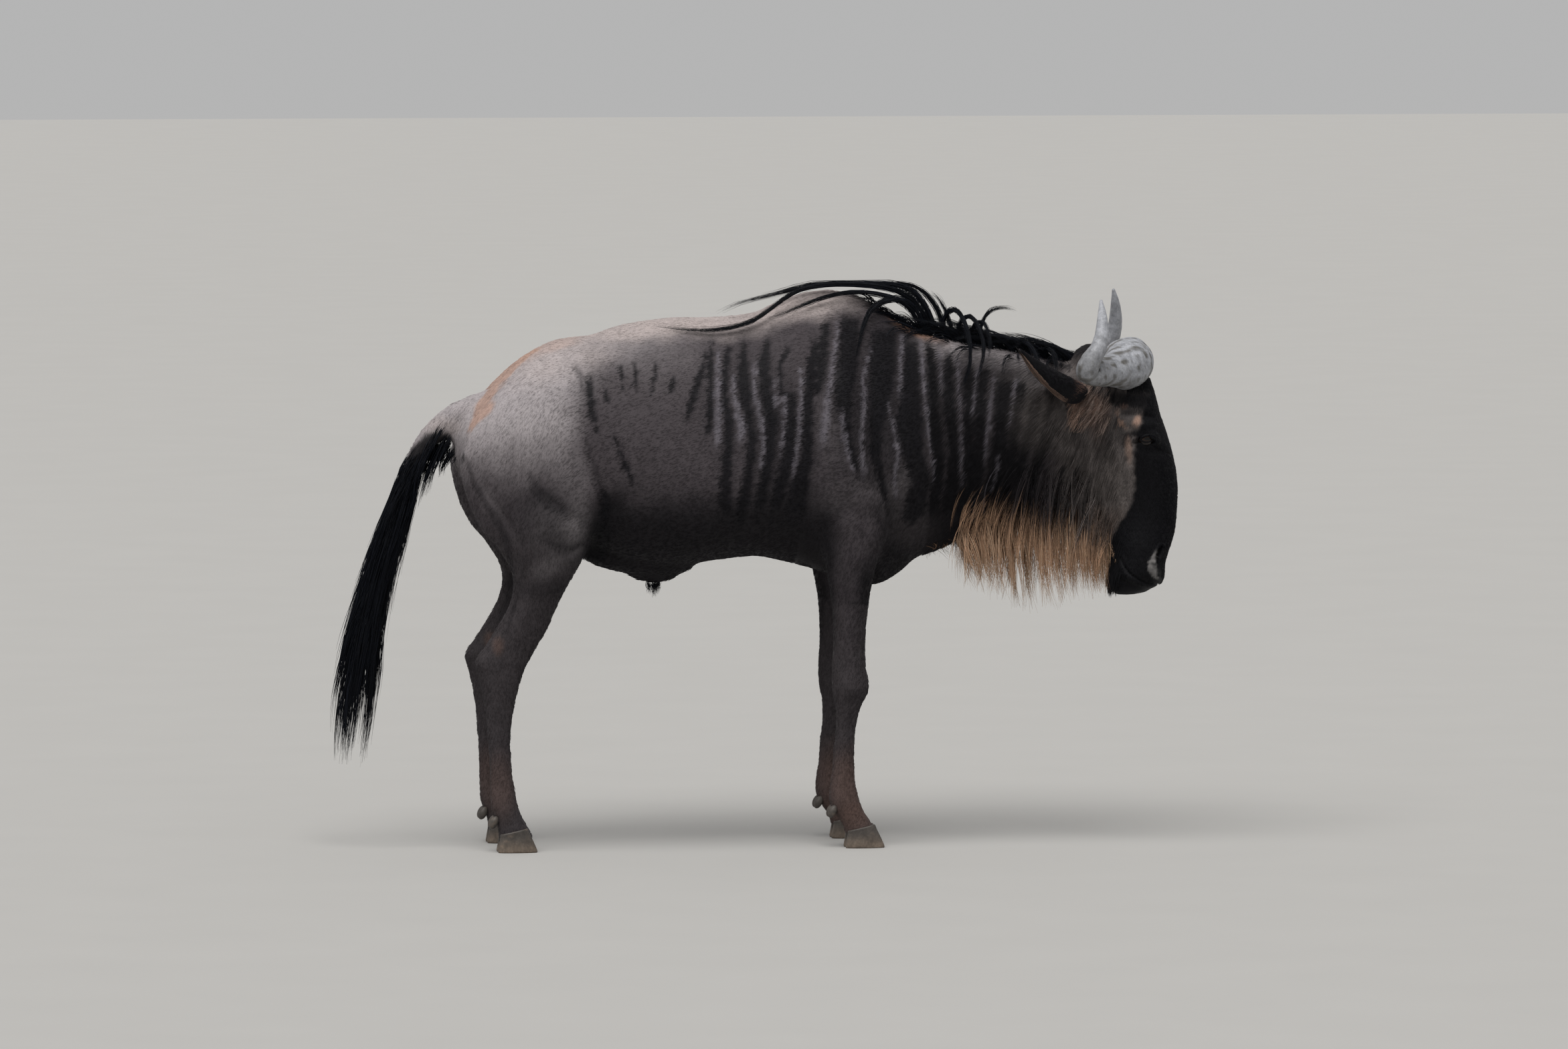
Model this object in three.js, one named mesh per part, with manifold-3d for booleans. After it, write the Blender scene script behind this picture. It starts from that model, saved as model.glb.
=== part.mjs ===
// A life-size standing wildebeest bull, as a museum shows it: +Z up, +X towards the head, +Y its left side.
// All sizes are millimetres. The body is drawn straight, and the neck and head are then turned to its right.
import * as THREE from "three";
import { mergeVertices } from "three/addons/utils/BufferGeometryUtils.js";
import Module from "manifold-3d";

const wasm = await Module();
wasm.setup();

// Driving dimensions
const GAP = 0.3; // space between neighbouring solids
const GROWTH = 0.45; // how far a solid is swollen before it is cut out of its neighbour
const HEAD_TURN = THREE.MathUtils.degToRad(13); // to the animal's right
const BEND_START = 400; // the neck starts to turn here
const BEND_END = 750; // and carries the head straight on from here
const BODY_SIDES = 22;
const LIMB_SIDES = 12;
const RIGHT = -1;
const LEFT = 1;
const SIDES = [
  ["right", RIGHT],
  ["left", LEFT],
];

// Trunk and neck, from the rump forward: x, top, height of the widest place, bottom, half width, power of the
// upper half, power of the lower half. A power below 1 makes a section boxier, and above 1 narrower.
const TRUNK = [
  [-744, 1016, 985, 952, 30, 1, 1],
  [-728, 1050, 990, 905, 78, 1, 1],
  [-700, 1085, 995, 872, 112, 1, 1],
  [-657, 1135, 1000, 845, 142, 1, 1],
  [-606, 1184, 1008, 822, 160, 1, 1],
  [-556, 1220, 1012, 800, 168, 1, 1],
  [-505, 1246, 1008, 778, 172, 1, 1],
  [-455, 1257, 1000, 752, 178, 1.02, 1],
  [-404, 1263, 985, 727, 190, 1.05, 0.98],
  [-354, 1279, 965, 704, 206, 1.08, 0.96],
  [-303, 1292, 945, 690, 218, 1.1, 0.95],
  [-202, 1304, 925, 685, 232, 1.12, 0.95],
  [-101, 1305, 918, 699, 234, 1.15, 0.95],
  [0, 1316, 918, 708, 228, 1.18, 0.97],
  [50, 1338, 922, 700, 221, 1.2, 1],
  [101, 1358, 926, 688, 212, 1.22, 1],
  [151, 1368, 928, 674, 203, 1.24, 1.02],
  [202, 1369, 928, 658, 194, 1.25, 1.04],
  [252, 1358, 924, 643, 184, 1.25, 1.06],
  [303, 1332, 922, 637, 172, 1.22, 1.08],
  [354, 1296, 928, 660, 156, 1.18, 1.1],
  [404, 1271, 940, 698, 141, 1.15, 1.12],
  [455, 1252, 955, 718, 129, 1.12, 1.15],
  [505, 1241, 968, 740, 121, 1.1, 1.18],
  [555, 1233, 982, 764, 115, 1.1, 1.2],
  [606, 1224, 994, 788, 110, 1.1, 1.2],
  [657, 1213, 1004, 806, 106, 1.1, 1.2],
  [707, 1203, 1012, 822, 102, 1.1, 1.2],
  [757, 1196, 1020, 846, 97, 1.1, 1.15],
  [808, 1192, 1030, 884, 90, 1.1, 1.1],
  [850, 1184, 1040, 940, 74, 1, 1],
];

// Head, from the poll down to the chin: z, back, front, half width, powers of the back and front halves.
const HEAD = [
  [1232, 825, 915, 26, 1, 1],
  [1216, 798, 950, 56, 1, 1],
  [1184, 784, 972, 76, 1, 0.95],
  [1140, 776, 986, 87, 1, 0.85],
  [1100, 776, 999, 94, 1.02, 0.82],
  [1060, 780, 1009, 98, 1.02, 0.8],
  [1020, 786, 1023, 97, 1, 0.8],
  [980, 792, 1035, 90, 0.98, 0.8],
  [930, 804, 1047, 83, 0.96, 0.8],
  [880, 822, 1053, 74, 0.98, 0.8],
  [830, 842, 1052, 67, 1, 0.8],
  [780, 860, 1048, 65, 1.02, 0.8],
  [745, 870, 1040, 67, 1.04, 0.8],
  [715, 876, 1030, 70, 1.02, 0.8],
  [688, 879, 1022, 72, 1, 0.8],
  [664, 879, 1020, 69, 1, 0.8],
  [646, 880, 1014, 60, 1, 0.82],
  [632, 882, 998, 50, 1, 0.85],
  [620, 888, 968, 40, 1, 0.9],
  [612, 900, 945, 26, 1, 0.9],
];

// Hind leg: z, back, front, distance of the middle from the body's middle plane, half width, power.
const HIND_LEG = [
  [1186, -580, -490, 82, 30, 1],
  [1160, -612, -448, 90, 50, 1],
  [1120, -656, -426, 98, 68, 1],
  [1040, -716, -403, 109, 85, 1],
  [960, -741, -392, 116, 89, 0.98],
  [874, -728, -390, 122, 83, 0.96],
  [794, -694, -404, 126, 71, 0.98],
  [744, -658, -421, 126, 61, 1],
  [700, -624, -443, 125, 53, 1],
  [660, -611, -468, 124, 46, 1],
  [604, -622, -498, 121, 39, 1.05],
  [548, -653, -521, 118, 34, 1.1],
  [500, -684, -549, 116, 32, 1.1],
  [469, -701, -566, 115, 33, 1.05],
  [440, -699, -581, 115, 33, 1],
  [400, -689, -593, 116, 31, 1],
  [350, -680, -605, 117, 26, 1],
  [290, -674, -613, 118, 22, 1],
  [230, -671, -613, 119, 21, 1],
  [170, -669, -606, 120, 22, 1],
  [130, -668, -600, 121, 26, 1],
  [102, -665, -593, 121, 29, 1],
  [76, -655, -580, 121, 28, 0.95],
  [52, -648, -566, 121, 30, 0.9],
  [30, -648, -556, 121, 30, 0.9],
];

// Foreleg, in the same columns.
const FORE_LEG = [
  [905, 140, 330, 112, 40, 1],
  [850, 128, 334, 122, 52, 1],
  [800, 128, 326, 127, 55, 1],
  [752, 138, 310, 129, 51, 1],
  [700, 155, 292, 128, 46, 1],
  [644, 168, 276, 125, 41, 1],
  [600, 175, 270, 122, 37, 1],
  [540, 179, 264, 119, 33, 1],
  [490, 179, 263, 117, 30, 1],
  [444, 176, 265, 116, 30, 1],
  [404, 176, 271, 116, 33, 0.95],
  [378, 179, 267, 116, 33, 0.95],
  [344, 185, 251, 116, 28, 1],
  [300, 186, 240, 116, 23, 1],
  [244, 181, 236, 117, 21, 1],
  [190, 176, 236, 118, 22, 1],
  [150, 171, 240, 119, 26, 1],
  [118, 169, 248, 119, 30, 1],
  [92, 178, 257, 120, 29, 0.95],
  [66, 196, 274, 121, 28, 0.92],
  [46, 206, 288, 121, 30, 0.9],
  [28, 208, 296, 121, 30, 0.9],
];

// Horn of one side: x, distance from the middle plane, z, radius up and down, radius fore and aft.
const HORN = [
  [928, 2, 1187, 64, 63],
  [926, 40, 1184, 65, 62],
  [922, 78, 1178, 60, 58],
  [907, 116, 1174, 49, 47],
  [883, 158, 1171, 38, 38],
  [857, 200, 1170, 34, 34],
  [841, 230, 1177, 30, 29],
  [851, 245, 1204, 26, 26],
  [867, 243, 1230, 22, 22],
  [875, 232, 1261, 18.5, 18.5],
  [876, 216, 1294, 15, 15],
  [874, 198, 1321, 10.5, 10.5],
  [871, 186, 1347, 4, 4],
];

// How far forward and up the left horn stands off the right, as the photo shows towards its tip.
const LEFT_LEAN = [0, 0, 0, 0, 0, 1, 3, 5, 7, 8, 9, 10, 10];

// Tail dock: x, y, z, half height, half width.
const DOCK = [
  [-655, 0, 1074, 58, 44],
  [-690, 0, 1063, 57, 44],
  [-735, 0, 1052, 48, 38],
  [-778, 3, 1029, 38, 31],
  [-815, 7, 993, 32, 27],
  [-842, 12, 945, 28, 24],
  [-868, 16, 880, 26, 22],
  [-890, 18, 800, 28, 26],
  [-913, 20, 710, 30, 28],
  [-935, 22, 630, 28, 26],
  [-950, 24, 560, 16, 14],
];

// The low core under the mane: x, top, half width, root.
const CREST = [
  [-40, 1312, 8, 1285],
  [100, 1366, 20, 1330],
  [250, 1368, 24, 1320],
  [400, 1296, 26, 1235],
  [560, 1258, 26, 1200],
  [700, 1220, 24, 1175],
  [815, 1200, 12, 1168],
];

// The low core of the beard, from the throat to the jaw: x, root, tip, half width at the root.
const BEARD = [
  [470, 770, 724, 8],
  [560, 812, 716, 12],
  [650, 850, 706, 15],
  [740, 890, 706, 16],
  [810, 930, 702, 16],
  [850, 880, 698, 14],
  [874, 800, 694, 8],
];

// Families of locks. Each is rooted between `from` and `to`, sets out along `start`, bends towards `end` and
// lies with its flat side towards `face`. `stray` is how much the directions vary. Lengths are ranges.
const LOCKS = {
  withers: {
    count: 12, from: 70, to: 460, side: -0.25, spread: 1,
    start: [-0.9, -0.22, 0.3], end: [-0.8, -0.42, -0.5],
    face: [0, -0.5, 0.85], stray: 0.12, length: [190, 290], width: 46, thick: 14,
  },
  blown: {
    count: 5, from: 340, to: 480, side: -0.1, spread: 0.5,
    start: [-0.3, 0, 0.95], end: [-0.96, -0.15, -0.45],
    face: [0.3, -0.5, 0.8], stray: 0.12, length: [200, 300], width: 24, thick: 11,
  },
  crest: {
    count: 9, from: 480, to: 756, side: 0, spread: 0.8,
    start: [-0.5, -0.1, 0.85], end: [-0.93, -0.15, -0.35],
    face: [0.5, -0.3, 0.8], stray: 0.14, length: [125, 180], width: 46, thick: 14,
  },
  right_fall: {
    count: 5, from: 300, to: 560, side: -0.6, spread: 0.8,
    start: [-0.65, -0.45, 0.4], end: [-0.5, -0.4, -0.8],
    face: [0, -0.8, 0.5], stray: 0.12, length: [150, 220], width: 42, thick: 12,
  },
  left_fall: {
    count: 4, from: 280, to: 560, side: 0.6, spread: 0.8,
    start: [-0.65, 0.45, 0.4], end: [-0.5, 0.35, -0.8],
    face: [0, 0.8, 0.5], stray: 0.12, length: [140, 200], width: 42, thick: 12,
  },
  poll: {
    count: 3, from: 800, to: 836, side: 0, spread: 1,
    start: [-0.6, 0, 0.75], end: [-1, 0, -0.1],
    face: [0.4, 0, 0.9], stray: 0.12, length: [70, 100], width: 38, thick: 12,
  },
};

// Throat locks hang from `root`, a table of x and height, down to the same of `tip`.
const THROAT = {
  beard: {
    count: 14, from: 530, to: 770, half: 36, width: 42, thick: 12, trail: -26,
    root: [[440, 752], [560, 800], [650, 838], [770, 905]],
    tip: [[440, 700], [540, 622], [620, 572], [690, 566], [770, 586]],
  },
  fringe: {
    count: 5, from: 430, to: 600, half: 30, width: 46, thick: 12, trail: -14,
    root: [[420, 742], [560, 800], [650, 838]],
    tip: [[420, 698], [520, 700], [650, 728]],
  },
  jaw: {
    count: 8, from: 786, to: 876, half: 34, width: 36, thick: 12, trail: -12,
    root: [[780, 925], [820, 880], [850, 820], [880, 752]],
    tip: [[780, 592], [840, 600], [880, 612]],
  },
};

// Tail locks start down the dock and its line of hair: x, y and z, with the hair's half width there.
const TAIL_LINE = [
  [-782, 4, 1010, 14],
  [-838, 12, 950, 30],
  [-866, 16, 860, 42],
  [-892, 18, 780, 48],
  [-917, 20, 700, 52],
  [-938, 22, 620, 56],
  [-956, 24, 540, 60],
  [-970, 26, 450, 63],
  [-981, 26, 370, 62],
  [-990, 26, 290, 56],
  [-999, 26, 205, 44],
];
const TAIL_LOCKS = { count: 19, length: [0.26, 0.43], last: 0.58, width: 48, thick: 16 };

// Colours from the photograph
const FINISH = {
  hide: { color: 0x6a5f58, roughness: 0.85, metalness: 0 },
  horn: { color: 0x9a978f, roughness: 0.55, metalness: 0 },
  hoof: { color: 0x6b6761, roughness: 0.6, metalness: 0 },
  eye: { color: 0x14100d, roughness: 0.08, metalness: 0 },
  hair: { color: 0x14141a, roughness: 0.7, metalness: 0 },
};

// Turns a geometry into a solid, by its positions only.
function solidOf(geometry) {
  const plain = geometry.clone();
  plain.deleteAttribute("normal");
  plain.deleteAttribute("uv");
  const merged = mergeVertices(plain, 1e-4);
  return new wasm.Manifold(
    new wasm.Mesh({
      numProp: 3,
      vertProperties: merged.getAttribute("position").array,
      triVerts: new Uint32Array(merged.index.array),
    }),
  );
}

// Turns a solid back into a geometry, each point passed through `place`.
function geometryOf(solid, place = (p) => p) {
  const mesh = solid.getMesh();
  const positions = new Float32Array(mesh.numVert * 3);
  const point = new THREE.Vector3();
  for (let i = 0; i < mesh.numVert; i++) {
    point.fromArray(mesh.vertProperties, i * mesh.numProp);
    place(point).toArray(positions, i * 3);
  }
  return new THREE.BufferGeometry()
    .setAttribute("position", new THREE.BufferAttribute(positions, 3))
    .setIndex(new THREE.BufferAttribute(new Uint32Array(mesh.triVerts), 1));
}

// A solid swollen by `distance`, each corner along the mean direction of its faces.
function grown(solid, distance = GROWTH) {
  const geometry = geometryOf(solid);
  geometry.computeVertexNormals();
  const positions = geometry.getAttribute("position");
  const normals = geometry.getAttribute("normal");
  for (let i = 0; i < positions.count; i++)
    positions.setXYZ(
      i,
      positions.getX(i) + normals.getX(i) * distance,
      positions.getY(i) + normals.getY(i) * distance,
      positions.getZ(i) + normals.getZ(i) * distance,
    );
  return solidOf(geometry);
}

// Only the largest closed surface of a solid.
function largest(solid) {
  return solid
    .decompose()
    .reduce((best, piece) => (piece.volume() > best.volume() ? piece : best));
}

// A smooth curve through the rows of a table, read at `value` of its first column.
function rowAt(table, value) {
  const rising = table[1][0] > table[0][0] ? 1 : -1;
  let i = 0;
  while (i < table.length - 2 && rising * (value - table[i + 1][0]) > 0) i++;
  const [a, b] = [table[i], table[i + 1]];
  const before = table[Math.max(i - 1, 0)];
  const after = table[Math.min(i + 2, table.length - 1)];
  const span = b[0] - a[0];
  const t = (value - a[0]) / span;
  return a.map((start, column) => {
    if (column === 0) return value;
    const end = b[column];
    const slopeIn = ((end - before[column]) / (b[0] - before[0])) * span;
    const slopeOut = ((after[column] - start) / (after[0] - a[0])) * span;
    const h = t * t * (3 - 2 * t);
    return (
      start * (1 - h) +
      end * h +
      (slopeIn * (1 - t) + (slopeOut * -t)) * t * (1 - t)
    );
  });
}

// The first column's values, with `between` more in each step.
function stops(table, between) {
  const values = [];
  table.slice(1).forEach((row, i) => {
    for (let k = 0; k <= between; k++)
      values.push(THREE.MathUtils.lerp(table[i][0], row[0], k / (between + 1)));
  });
  values.push(table[table.length - 1][0]);
  return values;
}

// Sign times power, for rounded sections.
const raised = (value, power) => Math.sign(value) * Math.abs(value) ** power;

// A closed body through rings of equal length, with a point at the middle of each end.
function loft(rings) {
  const sides = rings[0].length;
  const points = rings.flat();
  const middle = (ring) =>
    ring
      .reduce((sum, p) => sum.add(p), new THREE.Vector3())
      .divideScalar(ring.length);
  points.push(middle(rings[0]), middle(rings[rings.length - 1]));
  const [first, last] = [points.length - 2, points.length - 1];
  const faces = [];
  for (let r = 0; r < rings.length - 1; r++)
    for (let s = 0; s < sides; s++) {
      const a = r * sides + s;
      const b = r * sides + ((s + 1) % sides);
      faces.push(a, b, b + sides, a, b + sides, a + sides);
    }
  const end = (rings.length - 1) * sides;
  for (let s = 0; s < sides; s++) {
    const next = (s + 1) % sides;
    faces.push(first, next, s, last, end + s, end + next);
  }
  return outward(points, faces);
}

// A closed body between two sheets of points in equal rows, joined round the border.
function sheet(outer, inner) {
  const rows = outer.length;
  const columns = outer[0].length;
  const points = [...outer.flat(), ...inner.flat()];
  const at = (layer, r, c) => layer * rows * columns + r * columns + c;
  const faces = [];
  const quad = (a, b, c, d) => faces.push(a, b, c, a, c, d);
  for (let r = 0; r < rows - 1; r++)
    for (let c = 0; c < columns - 1; c++) {
      quad(at(0, r, c), at(0, r, c + 1), at(0, r + 1, c + 1), at(0, r + 1, c));
      quad(at(1, r, c), at(1, r + 1, c), at(1, r + 1, c + 1), at(1, r, c + 1));
    }
  for (let c = 0; c < columns - 1; c++) {
    quad(at(0, 0, c + 1), at(0, 0, c), at(1, 0, c), at(1, 0, c + 1));
    quad(
      at(0, rows - 1, c),
      at(0, rows - 1, c + 1),
      at(1, rows - 1, c + 1),
      at(1, rows - 1, c),
    );
  }
  for (let r = 0; r < rows - 1; r++) {
    quad(at(0, r, 0), at(0, r + 1, 0), at(1, r + 1, 0), at(1, r, 0));
    quad(
      at(0, r + 1, columns - 1),
      at(0, r, columns - 1),
      at(1, r, columns - 1),
      at(1, r + 1, columns - 1),
    );
  }
  return outward(points, faces);
}

// A solid from points and faces, turned to face out.
function outward(points, faces) {
  const geometry = new THREE.BufferGeometry().setFromPoints(points);
  geometry.setIndex(faces);
  const solid = solidOf(geometry);
  if (solid.volume() > 0) return solid;
  for (let i = 0; i < faces.length; i += 3)
    [faces[i + 1], faces[i + 2]] = [faces[i + 2], faces[i + 1]];
  geometry.setIndex(faces);
  return solidOf(geometry);
}

// A ring of angles once round.
const turns = (sides) =>
  Array.from({ length: sides }, (_, i) => (i / sides) * 2 * Math.PI);

// One upright cross section of trunk or neck.
function trunkRing([x, top, wide, bottom, half, powerTop, powerBottom]) {
  return turns(BODY_SIDES).map((angle) => {
    const up = Math.sin(angle) >= 0;
    const power = up ? powerTop : powerBottom;
    const reach = up ? top - wide : wide - bottom;
    return new THREE.Vector3(
      x,
      half * raised(Math.cos(angle), power),
      wide + reach * raised(Math.sin(angle), power),
    );
  });
}

// One level cross section of the head.
function headRing([z, back, front, half, powerBack, powerFront]) {
  const middle = (back + front) / 2;
  const reach = (front - back) / 2;
  return turns(BODY_SIDES - 4).map((angle) => {
    const power = Math.cos(angle) >= 0 ? powerFront : powerBack;
    return new THREE.Vector3(
      middle + reach * raised(Math.cos(angle), power),
      half * raised(Math.sin(angle), power),
      z,
    );
  });
}

// One level cross section of a leg on the given side.
const legRing =
  (side) =>
  ([z, back, front, away, half, power]) =>
    turns(LIMB_SIDES).map(
      (angle) =>
        new THREE.Vector3(
          (back + front) / 2 + ((front - back) / 2) * raised(Math.cos(angle), power),
          side * away + half * raised(Math.sin(angle), power),
          z,
        ),
    );

// Everything of a solid on one side of a plane through `through`, along `normal`.
function cutBy(solid, normal, through, shift = 0) {
  const size = 5000;
  const box = new THREE.BoxGeometry(size, size, size);
  box.translate(0, 0, size / 2);
  box.applyQuaternion(
    new THREE.Quaternion().setFromUnitVectors(new THREE.Vector3(0, 0, 1), normal),
  );
  const foot = through.clone().addScaledVector(normal, shift);
  box.translate(foot.x, foot.y, foot.z);
  return solid.intersect(solidOf(box));
}

// A stretched ball, turned about the cross axis.
function ball(centre, radii, tilt = 0, [across, down] = [20, 12]) {
  const geometry = new THREE.SphereGeometry(1, across, down);
  geometry.scale(...radii);
  geometry.rotateY(tilt);
  geometry.translate(...centre);
  return solidOf(geometry);
}

// A body carried along a curve: x, y, z, radius upright to the level, radius along the level.
function carried(rows, sides, level = new THREE.Vector3(0, 1, 0)) {
  const centres = rows.map((row) => new THREE.Vector3(...row));
  return loft(
    rows.map((row, i) => {
      const ahead = centres[Math.min(i + 1, rows.length - 1)];
      const along = ahead.clone().sub(centres[Math.max(i - 1, 0)]).normalize();
      const across = level
        .clone()
        .addScaledVector(along, -level.dot(along))
        .normalize();
      const upright = new THREE.Vector3().crossVectors(along, across);
      return turns(sides).map((angle) =>
        centres[i]
          .clone()
          .addScaledVector(across, row[4] * Math.cos(angle))
          .addScaledVector(upright, row[3] * Math.sin(angle)),
      );
    }),
  );
}

// A seeded source of numbers from 0 to 1, so that every build is the same.
function seeded(seed) {
  let state = seed;
  return () => {
    state = (Math.imul(state, 1664525) + 1013904223) >>> 0;
    return state / 4294967296;
  };
}

// A flat tapered lock along a path of points, its flat side towards `face`.
const LOCK_SHAPE = [0.75, 1, 0.86, 0.5];
function lock(path, width, thick, face) {
  const points = [];
  LOCK_SHAPE.forEach((share, i) => {
    const along = path[i + 1].clone().sub(path[Math.max(i - 1, 0)]).normalize();
    const across = new THREE.Vector3().crossVectors(face, along).normalize();
    const through = new THREE.Vector3().crossVectors(along, across);
    const [w, t] = [(share * width) / 2, (Math.max(share, 0.6) * thick) / 2];
    points.push(
      path[i].clone().addScaledVector(across, w),
      path[i].clone().addScaledVector(through, t),
      path[i].clone().addScaledVector(across, -w),
      path[i].clone().addScaledVector(through, -t),
    );
  });
  points.push(path[LOCK_SHAPE.length]);
  const faces = [0, 2, 1, 0, 3, 2];
  for (let r = 0; r < LOCK_SHAPE.length - 1; r++)
    for (let c = 0; c < 4; c++) {
      const a = r * 4 + c;
      const b = r * 4 + ((c + 1) % 4);
      faces.push(a, b, b + 4, a, b + 4, a + 4);
    }
  const last = (LOCK_SHAPE.length - 1) * 4;
  for (let c = 0; c < 4; c++)
    faces.push(last + c, last + ((c + 1) % 4), points.length - 1);
  return outward(points, faces);
}

// A path that sets out along `start` and bends evenly towards `end`.
function bending(root, start, end, length) {
  const path = [root.clone()];
  const steps = LOCK_SHAPE.length;
  for (let i = 0; i < steps; i++) {
    const heading = start.clone().lerp(end, (i + 0.5) / steps).normalize();
    path.push(path[i].clone().addScaledVector(heading, length / steps));
  }
  return path;
}

// The height in a table of x and height.
function heightAt(table, x) {
  const i = Math.max(1, table.findIndex((row) => row[0] >= x));
  const [a, b] = [table[i - 1], table[i]];
  return THREE.MathUtils.mapLinear(x, a[0], b[0], a[1], b[1]);
}

// Mane locks of one family with their roots, along the trunk's top between two values of x.
const ROOT_DEPTH = 16;
function maneLocks(family, seed) {
  const random = seeded(seed);
  const { count, from, to, side, spread, stray, length, width, thick } = LOCKS[family];
  const around = (v) => v + (random() - 0.5) * 2 * stray;
  return Array.from({ length: count }, (_, i) => {
    const x = THREE.MathUtils.lerp(from, to, (i + 0.2 + 0.6 * random()) / count);
    const place = side + (random() - 0.5) * spread;
    const [, top, wide, , half, power] = rowAt(TRUNK, x);
    const angle = Math.PI / 2 - place * 0.34;
    const root = new THREE.Vector3(
      x,
      (half - ROOT_DEPTH) * raised(Math.cos(angle), power),
      wide + (top - wide - ROOT_DEPTH) * raised(Math.sin(angle), power),
    );
    const start = new THREE.Vector3(...LOCKS[family].start.map(around)).normalize();
    const end = new THREE.Vector3(...LOCKS[family].end.map(around)).normalize();
    const path = bending(root, start, end, THREE.MathUtils.lerp(...length, random()));
    const face = new THREE.Vector3(...LOCKS[family].face).normalize();
    return { root, solid: lock(path, width * (0.8 + 0.4 * random()), thick, face) };
  });
}

// Throat locks hang down from the underside of neck or jaw, and bend a little back.
function throatLocks(family, seed) {
  const random = seeded(seed);
  const { count, from, to, half, width, thick, trail, root, tip } = THROAT[family];
  return Array.from({ length: count }, (_, i) => {
    const x = THREE.MathUtils.lerp(from, to, (i + 0.2 + 0.6 * random()) / count);
    const y = (i % 2 ? 1 : -1) * half * (0.15 + 0.85 * random());
    const high = heightAt(root, x);
    const low = heightAt(tip, x) + 34 * random() ** 2;
    const sweep = trail * (0.4 + random());
    const bow = 14 * (random() - 0.3);
    const path = Array.from({ length: LOCK_SHAPE.length + 1 }, (_, k) => {
      const t = k / LOCK_SHAPE.length;
      return new THREE.Vector3(
        x + bow * Math.sin(Math.PI * t) + sweep * t * t,
        y * (1 + 0.35 * Math.sin(Math.PI * t) - 0.4 * t),
        THREE.MathUtils.lerp(high, low, t),
      );
    });
    const face = new THREE.Vector3(0.25, 1, 0).normalize();
    return { root: path[0], solid: lock(path, width * (0.8 + 0.4 * random()), thick, face) };
  });
}

// Tail locks follow the line of the tail, each over a part of its length.
function tailLocks(seed) {
  const random = seeded(seed);
  const { count, length, last, width, thick } = TAIL_LOCKS;
  const line = new THREE.CatmullRomCurve3(
    TAIL_LINE.map((row) => new THREE.Vector3(...row)),
  );
  return Array.from({ length: count }, (_, i) => {
    const share = i / (count - 1);
    const reach = THREE.MathUtils.lerp(...length, 0.75 * share + 0.25 * random());
    const from = last * share;
    const angle = i * 2.4 + random();
    const path = Array.from({ length: LOCK_SHAPE.length + 1 }, (_, k) => {
      const t = Math.min(from + (reach * k) / LOCK_SHAPE.length, 1);
      const index = t * (TAIL_LINE.length - 1);
      const low = Math.min(Math.floor(index), TAIL_LINE.length - 2);
      const half = THREE.MathUtils.lerp(TAIL_LINE[low][3], TAIL_LINE[low + 1][3], index - low);
      const away = half * (k === 0 ? 0.3 : 0.6 + 0.11 * k);
      const p = line.getPoint(t);
      return p.add(
        new THREE.Vector3(Math.cos(angle) * away, Math.sin(angle) * away * 0.75, 0),
      );
    });
    const face = new THREE.Vector3(Math.cos(angle), Math.sin(angle), 0);
    return lock(path, width * (0.75 + 0.5 * random()), thick, face);
  });
}

// The neck's turn to the right. Beyond the bend the head goes on straight, turned by the whole angle.
function turnedNeck(p) {
  const along = THREE.MathUtils.clamp(p.x, BEND_START, BEND_END) - BEND_START;
  if (p.x <= BEND_START) return p;
  const radius = (BEND_END - BEND_START) / HEAD_TURN;
  const angle = along / radius;
  const beyond = Math.max(p.x - BEND_END, 0);
  const [sin, cos] = [Math.sin(angle), Math.cos(angle)];
  return p.set(
    BEND_START + radius * sin + beyond * cos + p.y * sin,
    -radius * (1 - cos) - beyond * sin + p.y * cos,
    p.z,
  );
}

// The head's turn, for what stands off the head and may reach back over the neck.
function turnedHead(p) {
  const radius = (BEND_END - BEND_START) / HEAD_TURN;
  const [sin, cos] = [Math.sin(HEAD_TURN), Math.cos(HEAD_TURN)];
  const beyond = p.x - BEND_END;
  return p.set(
    BEND_START + radius * sin + beyond * cos + p.y * sin,
    -radius * (1 - cos) - beyond * sin + p.y * cos,
    p.z,
  );
}

// Trunk, with shoulders
const trunk = loft(stops(TRUNK, 0).map((x) => trunkRing(rowAt(TRUNK, x))));
const legs = Object.fromEntries(
  SIDES.flatMap(([name, side]) => [
    ["hind_" + name, loft(HIND_LEG.map(legRing(side)))],
    ["fore_" + name, loft(FORE_LEG.map(legRing(side)))],
  ]),
);
const SHOULDER_TILT = -0.3;
const shoulders = SIDES.flatMap(([, side]) => [
  ball([222, side * 100, 985], [118, 92, 238], SHOULDER_TILT, [14, 10]),
  ball([238, side * 100, 862], [104, 86, 122], -0.1, [12, 8]),
]);
const sheath = ball([-254, 0, 686], [78, 30, 39], 0.1, [12, 8]);

// The low cores that carry the locks of mane and beard
const union = (first, ...others) =>
  others.reduce((sum, piece) => sum.add(piece), first);

const coreRing = ([x, high, half, low]) =>
  turns(8).map(
    (angle) =>
      new THREE.Vector3(
        x,
        half * Math.cos(angle),
        (high + low) / 2 + ((high - low) / 2) * Math.sin(angle),
      ),
  );
const crest = loft(CREST.map(coreRing));
const beard = loft(BEARD.map(([x, root, tip, half]) => coreRing([x, root, half, tip])));

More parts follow.
